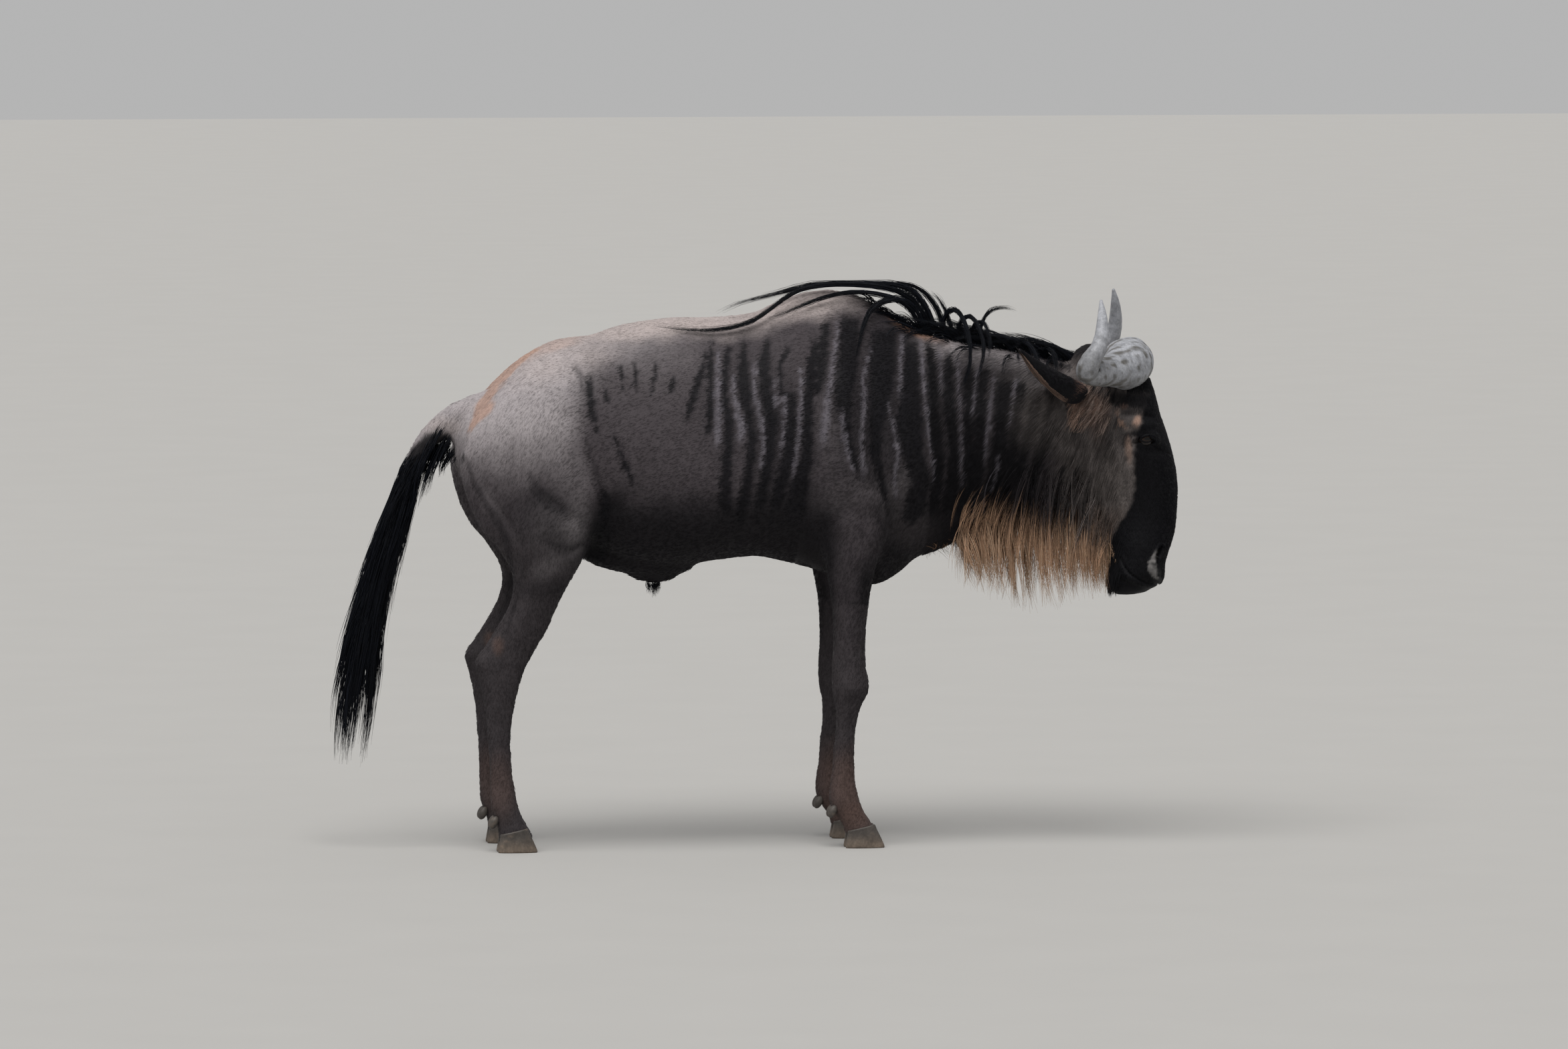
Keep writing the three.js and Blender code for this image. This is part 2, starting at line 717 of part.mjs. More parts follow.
// Torso: everything of the trunk behind the neck, with the upper thighs and arms
const NECK_CUT = {
  normal: new THREE.Vector3(0.9959, 0, 0.0903).normalize(),
  through: new THREE.Vector3(335, 0, 1335),
};
const HEAD_CUT = {
  normal: new THREE.Vector3(0.9936, 0, 0.1129).normalize(),
  through: new THREE.Vector3(765, 0, 1240),
};
const THIGH_CUT = {
  normal: new THREE.Vector3(-0.05, 0, 1).normalize(),
  through: new THREE.Vector3(-560, 0, 868),
};
const ARM_CUT = {
  normal: new THREE.Vector3(0.12, 0, 1).normalize(),
  through: new THREE.Vector3(228, 0, 762),
};
const back = (cut) => cut.normal.clone().negate();
const beyond = (cut, p) => p.clone().sub(cut.through).dot(cut.normal) > 0;

// Every lock belongs to the node that its root is in.
const allLocks = [
  ...Object.keys(LOCKS).flatMap((family, i) => maneLocks(family, 101 + i)),
  ...Object.keys(THROAT).flatMap((family, i) => throatLocks(family, 201 + i)),
];
const locksOf = (test) => allLocks.filter(({ root }) => test(root)).map(({ solid }) => solid);
const torsoLocks = locksOf((p) => !beyond(NECK_CUT, p));
const neckLocks = locksOf((p) => beyond(NECK_CUT, p) && !beyond(HEAD_CUT, p));
const headLocks = locksOf((p) => beyond(HEAD_CUT, p));
const sheathLocks = [-264, -248, -234].map((x, i) => {
  const root = new THREE.Vector3(x, 6 * (i - 1), 672);
  const down = new THREE.Vector3(0.15 * (1 - i), 0, -1);
  return lock(bending(root, down, down, 58 - 9 * i), 15, 8, new THREE.Vector3(0, 1, 0));
});

const upperLegs = Object.entries(legs).map(([name, leg]) => {
  const cut = name.startsWith("hind") ? THIGH_CUT : ARM_CUT;
  return cutBy(leg, cut.normal, cut.through);
});
const axis = union(trunk, crest);
const torso = largest(
  union(
    cutBy(
      union(axis, ...shoulders, ...upperLegs, sheath),
      back(NECK_CUT),
      NECK_CUT.through,
    ),
    cutBy(union(...torsoLocks), back(NECK_CUT), NECK_CUT.through),
    ...sheathLocks,
  ),
);

// Head with lids, lips and nostrils
const EYE = { x: 975, away: 68, z: 1001, radius: 20, lid: 5, look: 0.3 };
const eyeballs = SIDES.map(([, side]) =>
  ball([EYE.x, side * EYE.away, EYE.z], [EYE.radius, EYE.radius, EYE.radius], 0, [12, 8]),
);

// The lids are a thicker ball round the eye with an almond opening that looks out and a little forward.
function lids(side) {
  const r = EYE.radius + EYE.lid;
  return ball([EYE.x, side * EYE.away, EYE.z], [r * 1.6, r * 0.93, r * 1.2], 0.15, [12, 8]);
}

function lidOpening(side) {
  const opening = new THREE.SphereGeometry(1, 10, 6);
  opening.scale(21, 22, 9.5);
  opening.rotateY(0.25);
  opening.rotateZ(-side * EYE.look);
  opening.translate(EYE.x + 9, side * (EYE.away + 22), EYE.z);
  return solidOf(opening);
}

const NOSTRIL = { x: 988, away: 58, z: 690, tilt: -0.28 };
function nostrilPart(side, size, out, forward) {
  const part = new THREE.SphereGeometry(1, 8, 6);
  part.scale(...size);
  part.rotateY(NOSTRIL.tilt);
  part.translate(NOSTRIL.x + forward, side * (NOSTRIL.away + out), NOSTRIL.z);
  return solidOf(part);
}

// The mouth's line along one side: x and z, cut this deep into the lips.
const MOUTH = [
  [1010, 636],
  [985, 642],
  [962, 652],
  [938, 668],
  [918, 690],
  [906, 716],
];
const LIPS = { depth: 14, gap: 2.6, chin: [950, 0, 634], size: [32, 36, 18] };
function mouthLine() {
  const rows = MOUTH.map(([x, z]) => [x, 0, z, LIPS.gap / 2, 120]);
  const slit = carried(rows, 6);
  const inner = loft(
    HEAD.slice(10).map(([z, from, to, half, powerBack, powerFront]) =>
      headRing([z, from + 5, to - LIPS.depth, half - LIPS.depth, powerBack, powerFront]),
    ),
  );
  return slit.subtract(inner);
}

function headSolid() {
  const skull = loft(HEAD.map(headRing));
  const whole = union(
    skull,
    ball(LIPS.chin, LIPS.size, 0.3, [10, 6]),
    ...SIDES.map(([, side]) => lids(side)),
    ...SIDES.map(([, side]) => nostrilPart(side, [20, 12, 38], -3, -2)),
  );
  return [
    ...eyeballs.map((eye) => grown(eye, GAP)),
    ...SIDES.map(([, side]) => lidOpening(side)),
    ...SIDES.map(([, side]) => nostrilPart(side, [8, 14, 29], 6, 3)),
    mouthLine(),
  ].reduce((left, tool) => left.subtract(tool), whole);
}

const headAndNeck = union(axis, headSolid(), beard);
const bareNeck = cutBy(headAndNeck, back(HEAD_CUT), HEAD_CUT.through, GAP / 2);
const head = largest(
  union(
    cutBy(headAndNeck, HEAD_CUT.normal, HEAD_CUT.through, GAP / 2),
    union(...headLocks).subtract(grown(bareNeck)),
  ),
);
const neck = largest(
  union(
    cutBy(bareNeck, NECK_CUT.normal, NECK_CUT.through, GAP),
    union(...neckLocks).subtract(grown(torso)).subtract(grown(head)),
  ).subtract(grown(union(...torsoLocks))),
);

// Horns, which nearly meet over the brow
function horn(side) {
  const rows = HORN.map(([x, away, z, across, up], i) => {
    const lean = side > 0 ? LEFT_LEAN[i] : 0;
    return [x + lean, side * away, z + lean, up, across];
  });
  const swept = carried(rows, 11, new THREE.Vector3(1, 0, 0));
  const outwards = new THREE.Vector3(0, side, 0);
  const half = cutBy(swept, outwards, new THREE.Vector3(0, 0, 0), GAP);
  return largest(half.subtract(grown(head)));
}

// An ear is a leaf rolled about its axis, open down and back.
const EAR = {
  root: [826, 83, 1118],
  tip: [671, 190, 1225],
  open: [-0.62, 0.05, -0.78],
  radius: 41,
  wall: 5,
};
function ear(side) {
  const root = new THREE.Vector3(EAR.root[0], side * EAR.root[1], EAR.root[2]);
  const tip = new THREE.Vector3(EAR.tip[0], side * EAR.tip[1], EAR.tip[2]);
  const along = tip.clone().sub(root).normalize();
  const open = new THREE.Vector3(EAR.open[0], side * EAR.open[1], EAR.open[2]);
  open.addScaledVector(along, -open.dot(along)).normalize();
  const across = new THREE.Vector3().crossVectors(along, open);
  const RINGS = 8;
  const HALF = 7;
  const surface = (inner) =>
    Array.from({ length: RINGS }, (_, i) => {
      const t = i / (RINGS - 1);
      const swell = Math.sin(Math.PI * (0.13 + 0.85 * t ** 0.8)) ** 0.8;
      const radius = EAR.radius * swell + 1;
      const wall = Math.min(EAR.wall * (1.6 - t), radius * 0.5);
      const spread = THREE.MathUtils.lerp(2.4, 1.3, t ** 0.6);
      const centre = root
        .clone()
        .lerp(tip, t)
        .addScaledVector(open, 16 * Math.sin(Math.PI * t) + radius * 0.5);
      return Array.from({ length: HALF }, (_, k) => {
        const angle = THREE.MathUtils.lerp(-spread, spread, k / (HALF - 1));
        const r = radius - inner * wall;
        return centre
          .clone()
          .addScaledVector(open, -r * Math.cos(angle))
          .addScaledVector(across, r * Math.sin(angle));
      });
    });
  const cup = sheet(surface(0), surface(1));
  return largest(cup.subtract(grown(head)).subtract(grown(neck)));
}

// Tail: the dock with its hair
const dock = carried(DOCK, 12);
const tail = largest(
  union(dock, ...tailLocks(301)).subtract(grown(torso)),
);

// Hooves are cut from the feet by a sloping plane
const HOOF = { length: 100, height: 60, half: 15.5, cleft: 1.6, slope: 0.22 };
const FEET = {
  hind: { heel: -650, line: 48 },
  fore: { heel: 208, line: 46 },
};

// Level section of one toe: flat towards the cleft, round outside.
function toeRing(heel, side, out, z) {
  const rise = z / HOOF.height;
  const from = heel + 10 * rise;
  const to = heel + HOOF.length - 34 * rise;
  const half = HOOF.half - 1.5 * rise;
  return turns(10).map((angle) => {
    const front = Math.cos(angle) > 0 ? 1.15 : 0.7;
    const y = raised(Math.sin(angle), 0.8) * half;
    return new THREE.Vector3(
      (from + to) / 2 + ((to - from) / 2) * raised(Math.cos(angle), front),
      side * 121 + out * (HOOF.cleft + HOOF.half + Math.max(y, -half * 0.98)),
      z,
    );
  });
}

const HOOF_LEVELS = [0, 10, 72];
function hoof(foot, side, out, leg) {
  const { heel, line } = FEET[foot];
  const toe = loft(HOOF_LEVELS.map((z) => toeRing(heel, side, out, z)));
  const normal = new THREE.Vector3(HOOF.slope, 0, -1).normalize();
  const through = new THREE.Vector3(heel + HOOF.length / 2, 0, line);
  const below = cutBy(toe, normal.clone(), through);
  return largest(below.subtract(grown(leg)));
}

// Leg below its cut, with the foot ended by the sloping plane of the hooves
function wholeLeg(name) {
  const foot = name.slice(0, 4);
  const { heel, line } = FEET[foot];
  const normal = new THREE.Vector3(-HOOF.slope, 0, 1).normalize();
  const through = new THREE.Vector3(heel + HOOF.length / 2, 0, line);
  return largest(
    cutBy(legs[name], normal, through, GAP).subtract(grown(torso)),
  );
}

const DEWCLAW = {
  hind: { x: -660, z: 74 },
  fore: { x: 176, z: 90 },
};
function dewclaw(foot, side, out, leg) {
  const { x, z } = DEWCLAW[foot];
  const claw = ball([x - 4, side * 121 + out * 17, z], [13, 12, 20], 0.5, [7, 5]);
  return largest(claw.subtract(grown(leg)));
}

// The finished model
const model = new THREE.Group();
function addNode(name, slot, solid, place) {
  const mesh = new THREE.Mesh(
    geometryOf(solid, place),
    new THREE.MeshStandardMaterial(FINISH[slot]),
  );
  mesh.name = name;
  model.add(mesh);
}

addNode("torso", "hide", torso);
addNode("neck", "hide", neck, turnedNeck);
addNode("head", "hide", head, turnedNeck);
addNode("tail", "hair", tail);
SIDES.forEach(([name, side], i) => {
  addNode("horn_" + name, "horn", horn(side), turnedHead);
  addNode("ear_" + name, "hide", ear(side), turnedHead);
  addNode("eye_" + name, "eye", eyeballs[i], turnedHead);
  for (const foot of ["hind", "fore"]) {
    const leg = wholeLeg(foot + "_" + name);
    addNode("leg_" + foot + "_" + name, "hide", leg);
    for (const [place, out] of [
      ["inner", -side],
      ["outer", side],
    ]) {
      const end = [foot, name, place].join("_");
      addNode("hoof_" + end, "hoof", hoof(foot, side, out, leg));
      addNode("dewclaw_" + end, "hoof", dewclaw(foot, side, out, leg));
    }
  }
});

// The origin is on the floor, below the middle of the whole
const extent = new THREE.Box3().setFromObject(model, true);
const middle = extent.getCenter(new THREE.Vector3());
model.position.set(-middle.x, -middle.y, -extent.min.z);

export default model;
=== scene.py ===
"""Life-size standing wildebeest bull: skin, coat, hair, horns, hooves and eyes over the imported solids.

Shapes are worked out in millimetres on a straight animal, +X to the head and +Z up, and the neck and head are then
turned to its right. Everything is placed in metres.
"""

import bmesh
import bpy
import numpy as np
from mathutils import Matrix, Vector


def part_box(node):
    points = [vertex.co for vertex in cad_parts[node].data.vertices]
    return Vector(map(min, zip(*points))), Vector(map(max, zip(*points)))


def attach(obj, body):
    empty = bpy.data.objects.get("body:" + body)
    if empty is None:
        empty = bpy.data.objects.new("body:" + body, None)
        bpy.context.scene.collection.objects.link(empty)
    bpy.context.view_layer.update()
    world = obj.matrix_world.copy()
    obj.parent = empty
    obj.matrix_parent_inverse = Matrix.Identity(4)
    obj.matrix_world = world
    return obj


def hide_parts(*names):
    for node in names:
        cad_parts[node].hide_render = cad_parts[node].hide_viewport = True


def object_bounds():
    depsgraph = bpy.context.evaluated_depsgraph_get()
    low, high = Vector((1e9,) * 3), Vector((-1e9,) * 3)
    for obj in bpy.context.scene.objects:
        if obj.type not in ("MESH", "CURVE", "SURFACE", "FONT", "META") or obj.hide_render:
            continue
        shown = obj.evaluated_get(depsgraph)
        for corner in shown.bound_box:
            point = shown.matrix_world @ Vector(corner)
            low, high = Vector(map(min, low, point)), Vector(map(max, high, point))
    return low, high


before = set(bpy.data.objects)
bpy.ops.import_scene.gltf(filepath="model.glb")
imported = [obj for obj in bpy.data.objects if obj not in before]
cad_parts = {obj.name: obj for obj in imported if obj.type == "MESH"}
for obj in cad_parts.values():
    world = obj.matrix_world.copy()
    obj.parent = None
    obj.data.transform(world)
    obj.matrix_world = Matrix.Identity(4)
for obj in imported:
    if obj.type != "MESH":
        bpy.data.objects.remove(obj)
CAD_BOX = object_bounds()

bl_info = {
    "name": "Standing wildebeest",
    "version": (1, 0, 0),
    "blender": (4, 5, 0),
    "location": "3D View > Sidebar > Wildebeest",
    "description": "Builds the skin, coat, hair, horns, hooves and eyes of a life-size wildebeest",
    "category": "Object",
}

MM = 0.001
# How far the long hair stays inside the box of the solids.
BOX_GAP = 0.002
RIGHT, LEFT = -1, 1
SIDES = (("right", RIGHT), ("left", LEFT))
HEAD_TURN = np.radians(13.0)
BEND_START, BEND_END = 400.0, 750.0
EYE = np.array([975.0, 68.0, 1001.0])
EYE_RADIUS = 20.0
# In a side view from eight degrees behind and four above: what along and across give to the picture's along, and
# what across gives to its up.
SEEN_ALONG, SEEN_ACROSS, SEEN_UP = 0.990, 0.139, 0.07
# Nothing of the head lies lower than this, and no leg stands as far forward as the head.
UNDER_HEAD = 560
# The feet's distance from the middle plane.
FOOT_AWAY = 121

# Trunk and neck from the rump forward: x, top, height of the widest place, bottom, half width, power of the upper
# half, power of the lower half.
TRUNK = [
    [-744, 1016, 985, 952, 30, 1, 1],
    [-728, 1050, 990, 905, 78, 1, 1],
    [-700, 1085, 995, 872, 112, 1, 1],
    [-657, 1135, 1000, 845, 142, 1, 1],
    [-606, 1184, 1008, 822, 160, 1, 1],
    [-556, 1220, 1012, 800, 168, 1, 1],
    [-505, 1246, 1008, 778, 172, 1, 1],
    [-455, 1257, 1000, 752, 178, 1.02, 1],
    [-404, 1263, 985, 727, 190, 1.05, 0.98],
    [-354, 1279, 965, 704, 206, 1.08, 0.96],
    [-303, 1292, 945, 690, 218, 1.1, 0.95],
    [-202, 1304, 925, 685, 232, 1.12, 0.95],
    [-101, 1305, 918, 699, 234, 1.15, 0.95],
    [0, 1316, 918, 708, 228, 1.18, 0.97],
    [50, 1338, 922, 700, 221, 1.2, 1],
    [101, 1358, 926, 688, 212, 1.22, 1],
    [151, 1368, 928, 674, 203, 1.24, 1.02],
    [202, 1369, 928, 658, 194, 1.25, 1.04],
    [252, 1358, 924, 643, 184, 1.25, 1.06],
    [303, 1332, 922, 637, 172, 1.22, 1.08],
    [354, 1296, 928, 660, 156, 1.18, 1.1],
    [404, 1271, 940, 698, 141, 1.15, 1.12],
    [455, 1252, 955, 718, 129, 1.12, 1.15],
    [505, 1241, 968, 740, 121, 1.1, 1.18],
    [555, 1233, 982, 764, 115, 1.1, 1.2],
    [606, 1224, 994, 788, 110, 1.1, 1.2],
    [657, 1213, 1004, 806, 106, 1.1, 1.2],
    [707, 1203, 1012, 822, 102, 1.1, 1.2],
    [757, 1196, 1020, 846, 97, 1.1, 1.15],
    [808, 1192, 1030, 884, 90, 1.1, 1.1],
    [850, 1184, 1040, 940, 74, 1, 1],
]

# Head from the poll down to the chin: z, back, front, half width, power of the back half, power of the front half.
HEAD = [
    [1232, 825, 915, 26, 1, 1],
    [1216, 798, 950, 56, 1, 1],
    [1184, 784, 972, 76, 1, 0.95],
    [1140, 776, 986, 87, 1, 0.85],
    [1100, 776, 999, 94, 1.02, 0.82],
    [1060, 780, 1009, 98, 1.02, 0.8],
    [1020, 786, 1023, 97, 1, 0.8],
    [980, 792, 1035, 90, 0.98, 0.8],
    [930, 804, 1047, 83, 0.96, 0.8],
    [880, 822, 1053, 74, 0.98, 0.8],
    [830, 842, 1052, 67, 1, 0.8],
    [780, 860, 1048, 65, 1.02, 0.8],
    [745, 870, 1040, 67, 1.04, 0.8],
    [715, 876, 1030, 70, 1.02, 0.8],
    [688, 879, 1022, 72, 1, 0.8],
    [664, 879, 1020, 69, 1, 0.8],
    [646, 880, 1014, 60, 1, 0.82],
    [632, 882, 998, 50, 1, 0.85],
    [620, 888, 968, 40, 1, 0.9],
    [612, 900, 945, 26, 1, 0.9],
]

# Hind leg: z, back, front, distance of the middle from the middle plane, half width, power.
HIND_LEG = [
    [1186, -580, -490, 82, 30, 1],
    [1160, -612, -448, 90, 50, 1],
    [1120, -656, -426, 98, 68, 1],
    [1040, -716, -403, 109, 85, 1],
    [960, -741, -392, 116, 89, 0.98],
    [874, -728, -390, 122, 83, 0.96],
    [794, -694, -404, 126, 71, 0.98],
    [744, -658, -421, 126, 61, 1],
    [700, -624, -443, 125, 53, 1],
    [660, -611, -468, 124, 46, 1],
    [604, -622, -498, 121, 39, 1.05],
    [548, -653, -521, 118, 34, 1.1],
    [500, -684, -549, 116, 32, 1.1],
    [469, -701, -566, 115, 33, 1.05],
    [440, -699, -581, 115, 33, 1],
    [400, -689, -593, 116, 31, 1],
    [350, -680, -605, 117, 26, 1],
    [290, -674, -613, 118, 22, 1],
    [230, -671, -613, 119, 21, 1],
    [170, -669, -606, 120, 22, 1],
    [130, -668, -600, 121, 26, 1],
    [102, -665, -593, 121, 29, 1],
    [76, -655, -580, 121, 28, 0.95],
    [52, -648, -566, 121, 30, 0.9],
    [30, -648, -556, 121, 30, 0.9],
]

# Foreleg in the same columns.
FORE_LEG = [
    [905, 140, 330, 112, 40, 1],
    [850, 128, 334, 122, 52, 1],
    [800, 128, 326, 127, 55, 1],
    [752, 138, 310, 129, 51, 1],
    [700, 155, 292, 128, 46, 1],
    [644, 168, 276, 125, 41, 1],
    [600, 175, 270, 122, 37, 1],
    [540, 179, 264, 119, 33, 1],
    [490, 179, 263, 117, 30, 1],
    [444, 176, 265, 116, 30, 1],
    [404, 176, 271, 116, 33, 0.95],
    [378, 179, 267, 116, 33, 0.95],
    [344, 185, 251, 116, 28, 1],
    [300, 186, 240, 116, 23, 1],
    [244, 181, 236, 117, 21, 1],
    [190, 176, 236, 118, 22, 1],
    [150, 171, 240, 119, 26, 1],
    [118, 169, 248, 119, 30, 1],
    [92, 178, 257, 120, 29, 0.95],
    [66, 196, 274, 121, 28, 0.92],
    [46, 206, 288, 121, 30, 0.9],
    [28, 208, 296, 121, 30, 0.9],
]

# Horn of one side: x, distance from the middle plane, z, radius across, radius up and down.
HORN = [
    [928, 2, 1187, 64, 63],
    [926, 40, 1184, 65, 62],
    [922, 78, 1178, 60, 58],
    [907, 116, 1174, 49, 47],
    [883, 158, 1171, 38, 38],
    [857, 200, 1170, 34, 34],
    [841, 230, 1177, 30, 29],
    [851, 245, 1204, 26, 26],
    [867, 243, 1230, 22, 22],
    [875, 232, 1261, 18.5, 18.5],
    [876, 216, 1294, 15, 15],
    [874, 198, 1321, 10.5, 10.5],
    [871, 186, 1347, 4, 4],
]

# How far forward and up the left horn stands off the right one's rows, towards its tip.
LEFT_LEAN = [0, 0, 0, 0, 0, 1, 3, 5, 7, 8, 9, 10, 10]

# Tail dock: x, y, z, half height, half width.
DOCK = [
    [-655, 0, 1074, 55, 42],
    [-690, 0, 1063, 54, 42],
    [-735, 0, 1052, 45, 36],
    [-778, 3, 1029, 35, 28],
    [-815, 7, 993, 27, 23],
    [-842, 12, 945, 23, 20],
    [-868, 16, 880, 19, 17],
    [-890, 18, 800, 16, 15],
    [-913, 20, 710, 13, 12],
    [-935, 22, 630, 10, 9],
]

# Line of the tail's hair: x, y, z and the hair's half width there.
TAIL_LINE = [
    [-782, 4, 1010, 14],
    [-838, 12, 950, 30],
    [-866, 16, 860, 42],
    [-892, 18, 780, 48],
    [-917, 20, 700, 52],
    [-938, 22, 620, 56],
    [-956, 24, 540, 60],
    [-970, 26, 450, 63],
    [-981, 26, 370, 62],
    [-990, 26, 290, 56],
    [-999, 26, 205, 44],
]


def linear(colour):
    """sRGB hex text such as "6a5f58" as three linear numbers."""
    value = np.array([int(colour[i:i + 2], 16) for i in (0, 2, 4)]) / 255
    return np.where(value <= 0.04045, value / 12.92, ((value + 0.055) / 1.055) ** 2.4)


def smooth(low, high, value):
    """0 below low, 1 above high, and a smooth step between; the other way round where low is above high."""
    t = np.clip((value - low) / (high - low), 0, 1)
    return t * t * (3 - 2 * t)


def bell(value, width):
    """A bell curve: e to the power of minus the square of value over width."""
    return np.exp(-((value / width) ** 2))


def unit(vectors):
    """Vectors of length one."""
    return vectors / np.maximum(np.linalg.norm(vectors, axis=-1, keepdims=True), 1e-9)


def raised(value, power):
    """Sign times power, which rounds or squares a section."""
    return np.sign(value) * np.abs(value) ** power


def ripple(points, size, seed, layers=6):
    """Soft noise from -1 to 1: a mean of sine waves in seeded directions, of wavelengths near size."""
    rng = np.random.default_rng(seed)
    total = 0
    for _ in range(layers):
        way = unit(rng.normal(size=3)) * 2 * np.pi / (size * rng.uniform(0.6, 1.5))
        total = total + np.sin(points @ way + rng.uniform(0, 2 * np.pi))
    return total * (1.5 / layers)


def row_at(table, values):
    """A smooth curve through the rows of a table, read at values of its first column: a cubic between each two rows,
    with the slope at a row taken from the rows on both sides of it."""
    rows = np.asarray(table, float)
    if rows[0, 0] > rows[-1, 0]:
        rows = rows[::-1]
    values = np.clip(np.asarray(values, float), rows[0, 0], rows[-1, 0])
    i = np.clip(np.searchsorted(rows[:, 0], values) - 1, 0, len(rows) - 2)
    a, b = rows[i], rows[i + 1]
    before, after = rows[np.maximum(i - 1, 0)], rows[np.minimum(i + 2, len(rows) - 1)]
    span = b[:, :1] - a[:, :1]
    t = (values[:, None] - a[:, :1]) / span
    slope_in = (b - before) / (b[:, :1] - before[:, :1]) * span
    slope_out = (after - a) / (after[:, :1] - a[:, :1]) * span
    h = t * t * (3 - 2 * t)
    out = a * (1 - h) + b * h + (slope_in * (1 - t) - slope_out * t) * t * (1 - t)
    out[:, 0] = values
    return out


def height_in(table, x):
    """Straight lines through a table of two columns: the second one where the first one is x."""
    rows = np.asarray(table, float)
    return np.interp(x, rows[:, 0], rows[:, 1])


def curve_points(rows, count):
    """Points at even steps of length along a smooth curve through the rows, with the other columns carried along."""
    rows = np.asarray(rows, float)
    steps = np.arange(len(rows), dtype=float)
    table = np.column_stack([steps, rows])
    fine = row_at(table, np.linspace(0, len(rows) - 1, 40 * len(rows)))[:, 1:]
    length = np.concatenate([[0], np.cumsum(np.linalg.norm(np.diff(fine[:, :3], axis=0), axis=1))])
    at = np.linspace(0, length[-1], count)
    return np.column_stack([np.interp(at, length, fine[:, k]) for k in range(fine.shape[1])])


def turned(points, whole=None):
    """The turn to the right in millimetres: the neck bends evenly between its two ends, and the head goes straight on.
    Where whole is true the point belongs to the head and turns by the whole angle."""
    x, y, z = points[..., 0], points[..., 1], points[..., 2]
    radius = (BEND_END - BEND_START) / HEAD_TURN
    along = np.clip(x, BEND_START, BEND_END) - BEND_START
    beyond = np.maximum(x - BEND_END, 0)
    angle = along / radius
    if whole is not None:
        angle = np.where(whole, HEAD_TURN, angle)
        beyond = np.where(whole, x - BEND_END, beyond)
    free = x <= BEND_START
    if whole is not None:
        free = free & ~np.broadcast_to(whole, free.shape)
    sin, cos = np.sin(angle), np.cos(angle)
    new_x = np.where(free, x, BEND_START + radius * sin + beyond * cos + y * sin)
    new_y = np.where(free, y, -radius * (1 - cos) - beyond * sin + y * cos)
    return np.stack([new_x, new_y, z], axis=-1)


def frame_shift():
    """What is added to table places to reach the frame: where the solids have the eyes, less where the tables do."""
    low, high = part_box("eye_right")
    there = np.array((low + high) / 2) / MM
    here = turned(EYE * [1, RIGHT, 1], True)
    shift = there - here
    shift[2] = 0
    return shift


SHIFT = frame_shift()


def placed(points, whole=None):
    """Straight table places in millimetres as places in the frame, in metres."""
    return (turned(points, whole) + SHIFT) * MM


def seen_from_right(points):
    """Where a place of the straight animal is in a side view of its right side: along and up, in millimetres. The left
    side is read as the mirror image of the right one."""
    mirrored = points * [1, 0, 1] - np.abs(points * [0, 1, 0])
    p = turned(mirrored, mirrored[..., 0] > BEND_END)
    return SEEN_ALONG * p[..., 0] - SEEN_ACROSS * p[..., 1], p[..., 2] + SEEN_UP * p[..., 1]


def mesh_of(name, points, faces):
    """An object from points in metres and a list of arrays of corners."""
    mesh = bpy.data.meshes.new(name)
    mesh.vertices.add(len(points))
    mesh.vertices.foreach_set("co", np.asarray(points, np.float32).ravel())
    corners = np.concatenate([f.ravel() for f in faces]).astype(np.int32)
    counts = np.concatenate([np.full(len(f), f.shape[1]) for f in faces])
    mesh.loops.add(len(corners))
    mesh.loops.foreach_set("vertex_index", corners)
    mesh.polygons.add(len(counts))
    mesh.polygons.foreach_set("loop_start", (np.cumsum(counts) - counts).astype(np.int32))
    mesh.polygons.foreach_set("use_smooth", np.ones(len(counts), bool))
    mesh.update(calc_edges=True)
    piece = bpy.data.objects.new(name, mesh)
    bpy.context.scene.collection.objects.link(piece)
    return piece


def tube_faces(rings, sides):
    """Corners of a closed tube of rings, and the fans of its two ends, whose middle points come last."""
    r, s = np.meshgrid(np.arange(rings - 1), np.arange(sides), indexing="ij")
    a, b = r * sides + s, r * sides + (s + 1) % sides
    wall = np.stack([a, b, b + sides, a + sides], -1).reshape(-1, 4)
    k = np.arange(sides)
    first = np.stack([np.full(sides, rings * sides), (k + 1) % sides, k], -1)
    end = (rings - 1) * sides
    last = np.stack([np.full(sides, rings * sides + 1), end + k, end + (k + 1) % sides], -1)
    return [wall, first, last]


def tube(rings):
    """Points and faces of a closed body through rings of equal length, each a row of points."""
    count, sides = rings.shape[:2]
    points = np.concatenate([rings.reshape(-1, 3), [rings[0].mean(0), rings[-1].mean(0)]])
    faces = tube_faces(count, sides)
    centre = rings.mean(1)
    along = centre[1] - centre[0]
    spin = np.cross(rings[0, 0] - centre[0], rings[0, sides // 4] - centre[0]) @ along
    return points, [f[:, ::-1] for f in faces] if spin < 0 else faces


def joined(bodies):
    """Several bodies as one set of points and faces."""
    start, points, faces = 0, [], []
    for body, sides in bodies:
        points.append(body)
        faces += [f + start for f in sides]
        start += len(body)
    return np.concatenate(points), faces


def egg(centre, radii, tilt=0.0, steps=24):
    """A stretched ball turned about the cross axis: a circle of longitude carried round a circle of latitude."""
    v = np.linspace(0.04, np.pi - 0.04, steps)[:, None]
    u = np.linspace(0, 2 * np.pi, 2 * steps, endpoint=False)[None, :]
    p = np.stack([np.sin(v) * np.cos(u), np.sin(v) * np.sin(u), np.cos(v) + 0 * u], -1) * radii
    sin, cos = np.sin(tilt), np.cos(tilt)
    x, z = p[..., 0] * cos + p[..., 2] * sin, p[..., 2] * cos - p[..., 0] * sin
    return tube(np.stack([x, p[..., 1], z], -1) + centre)


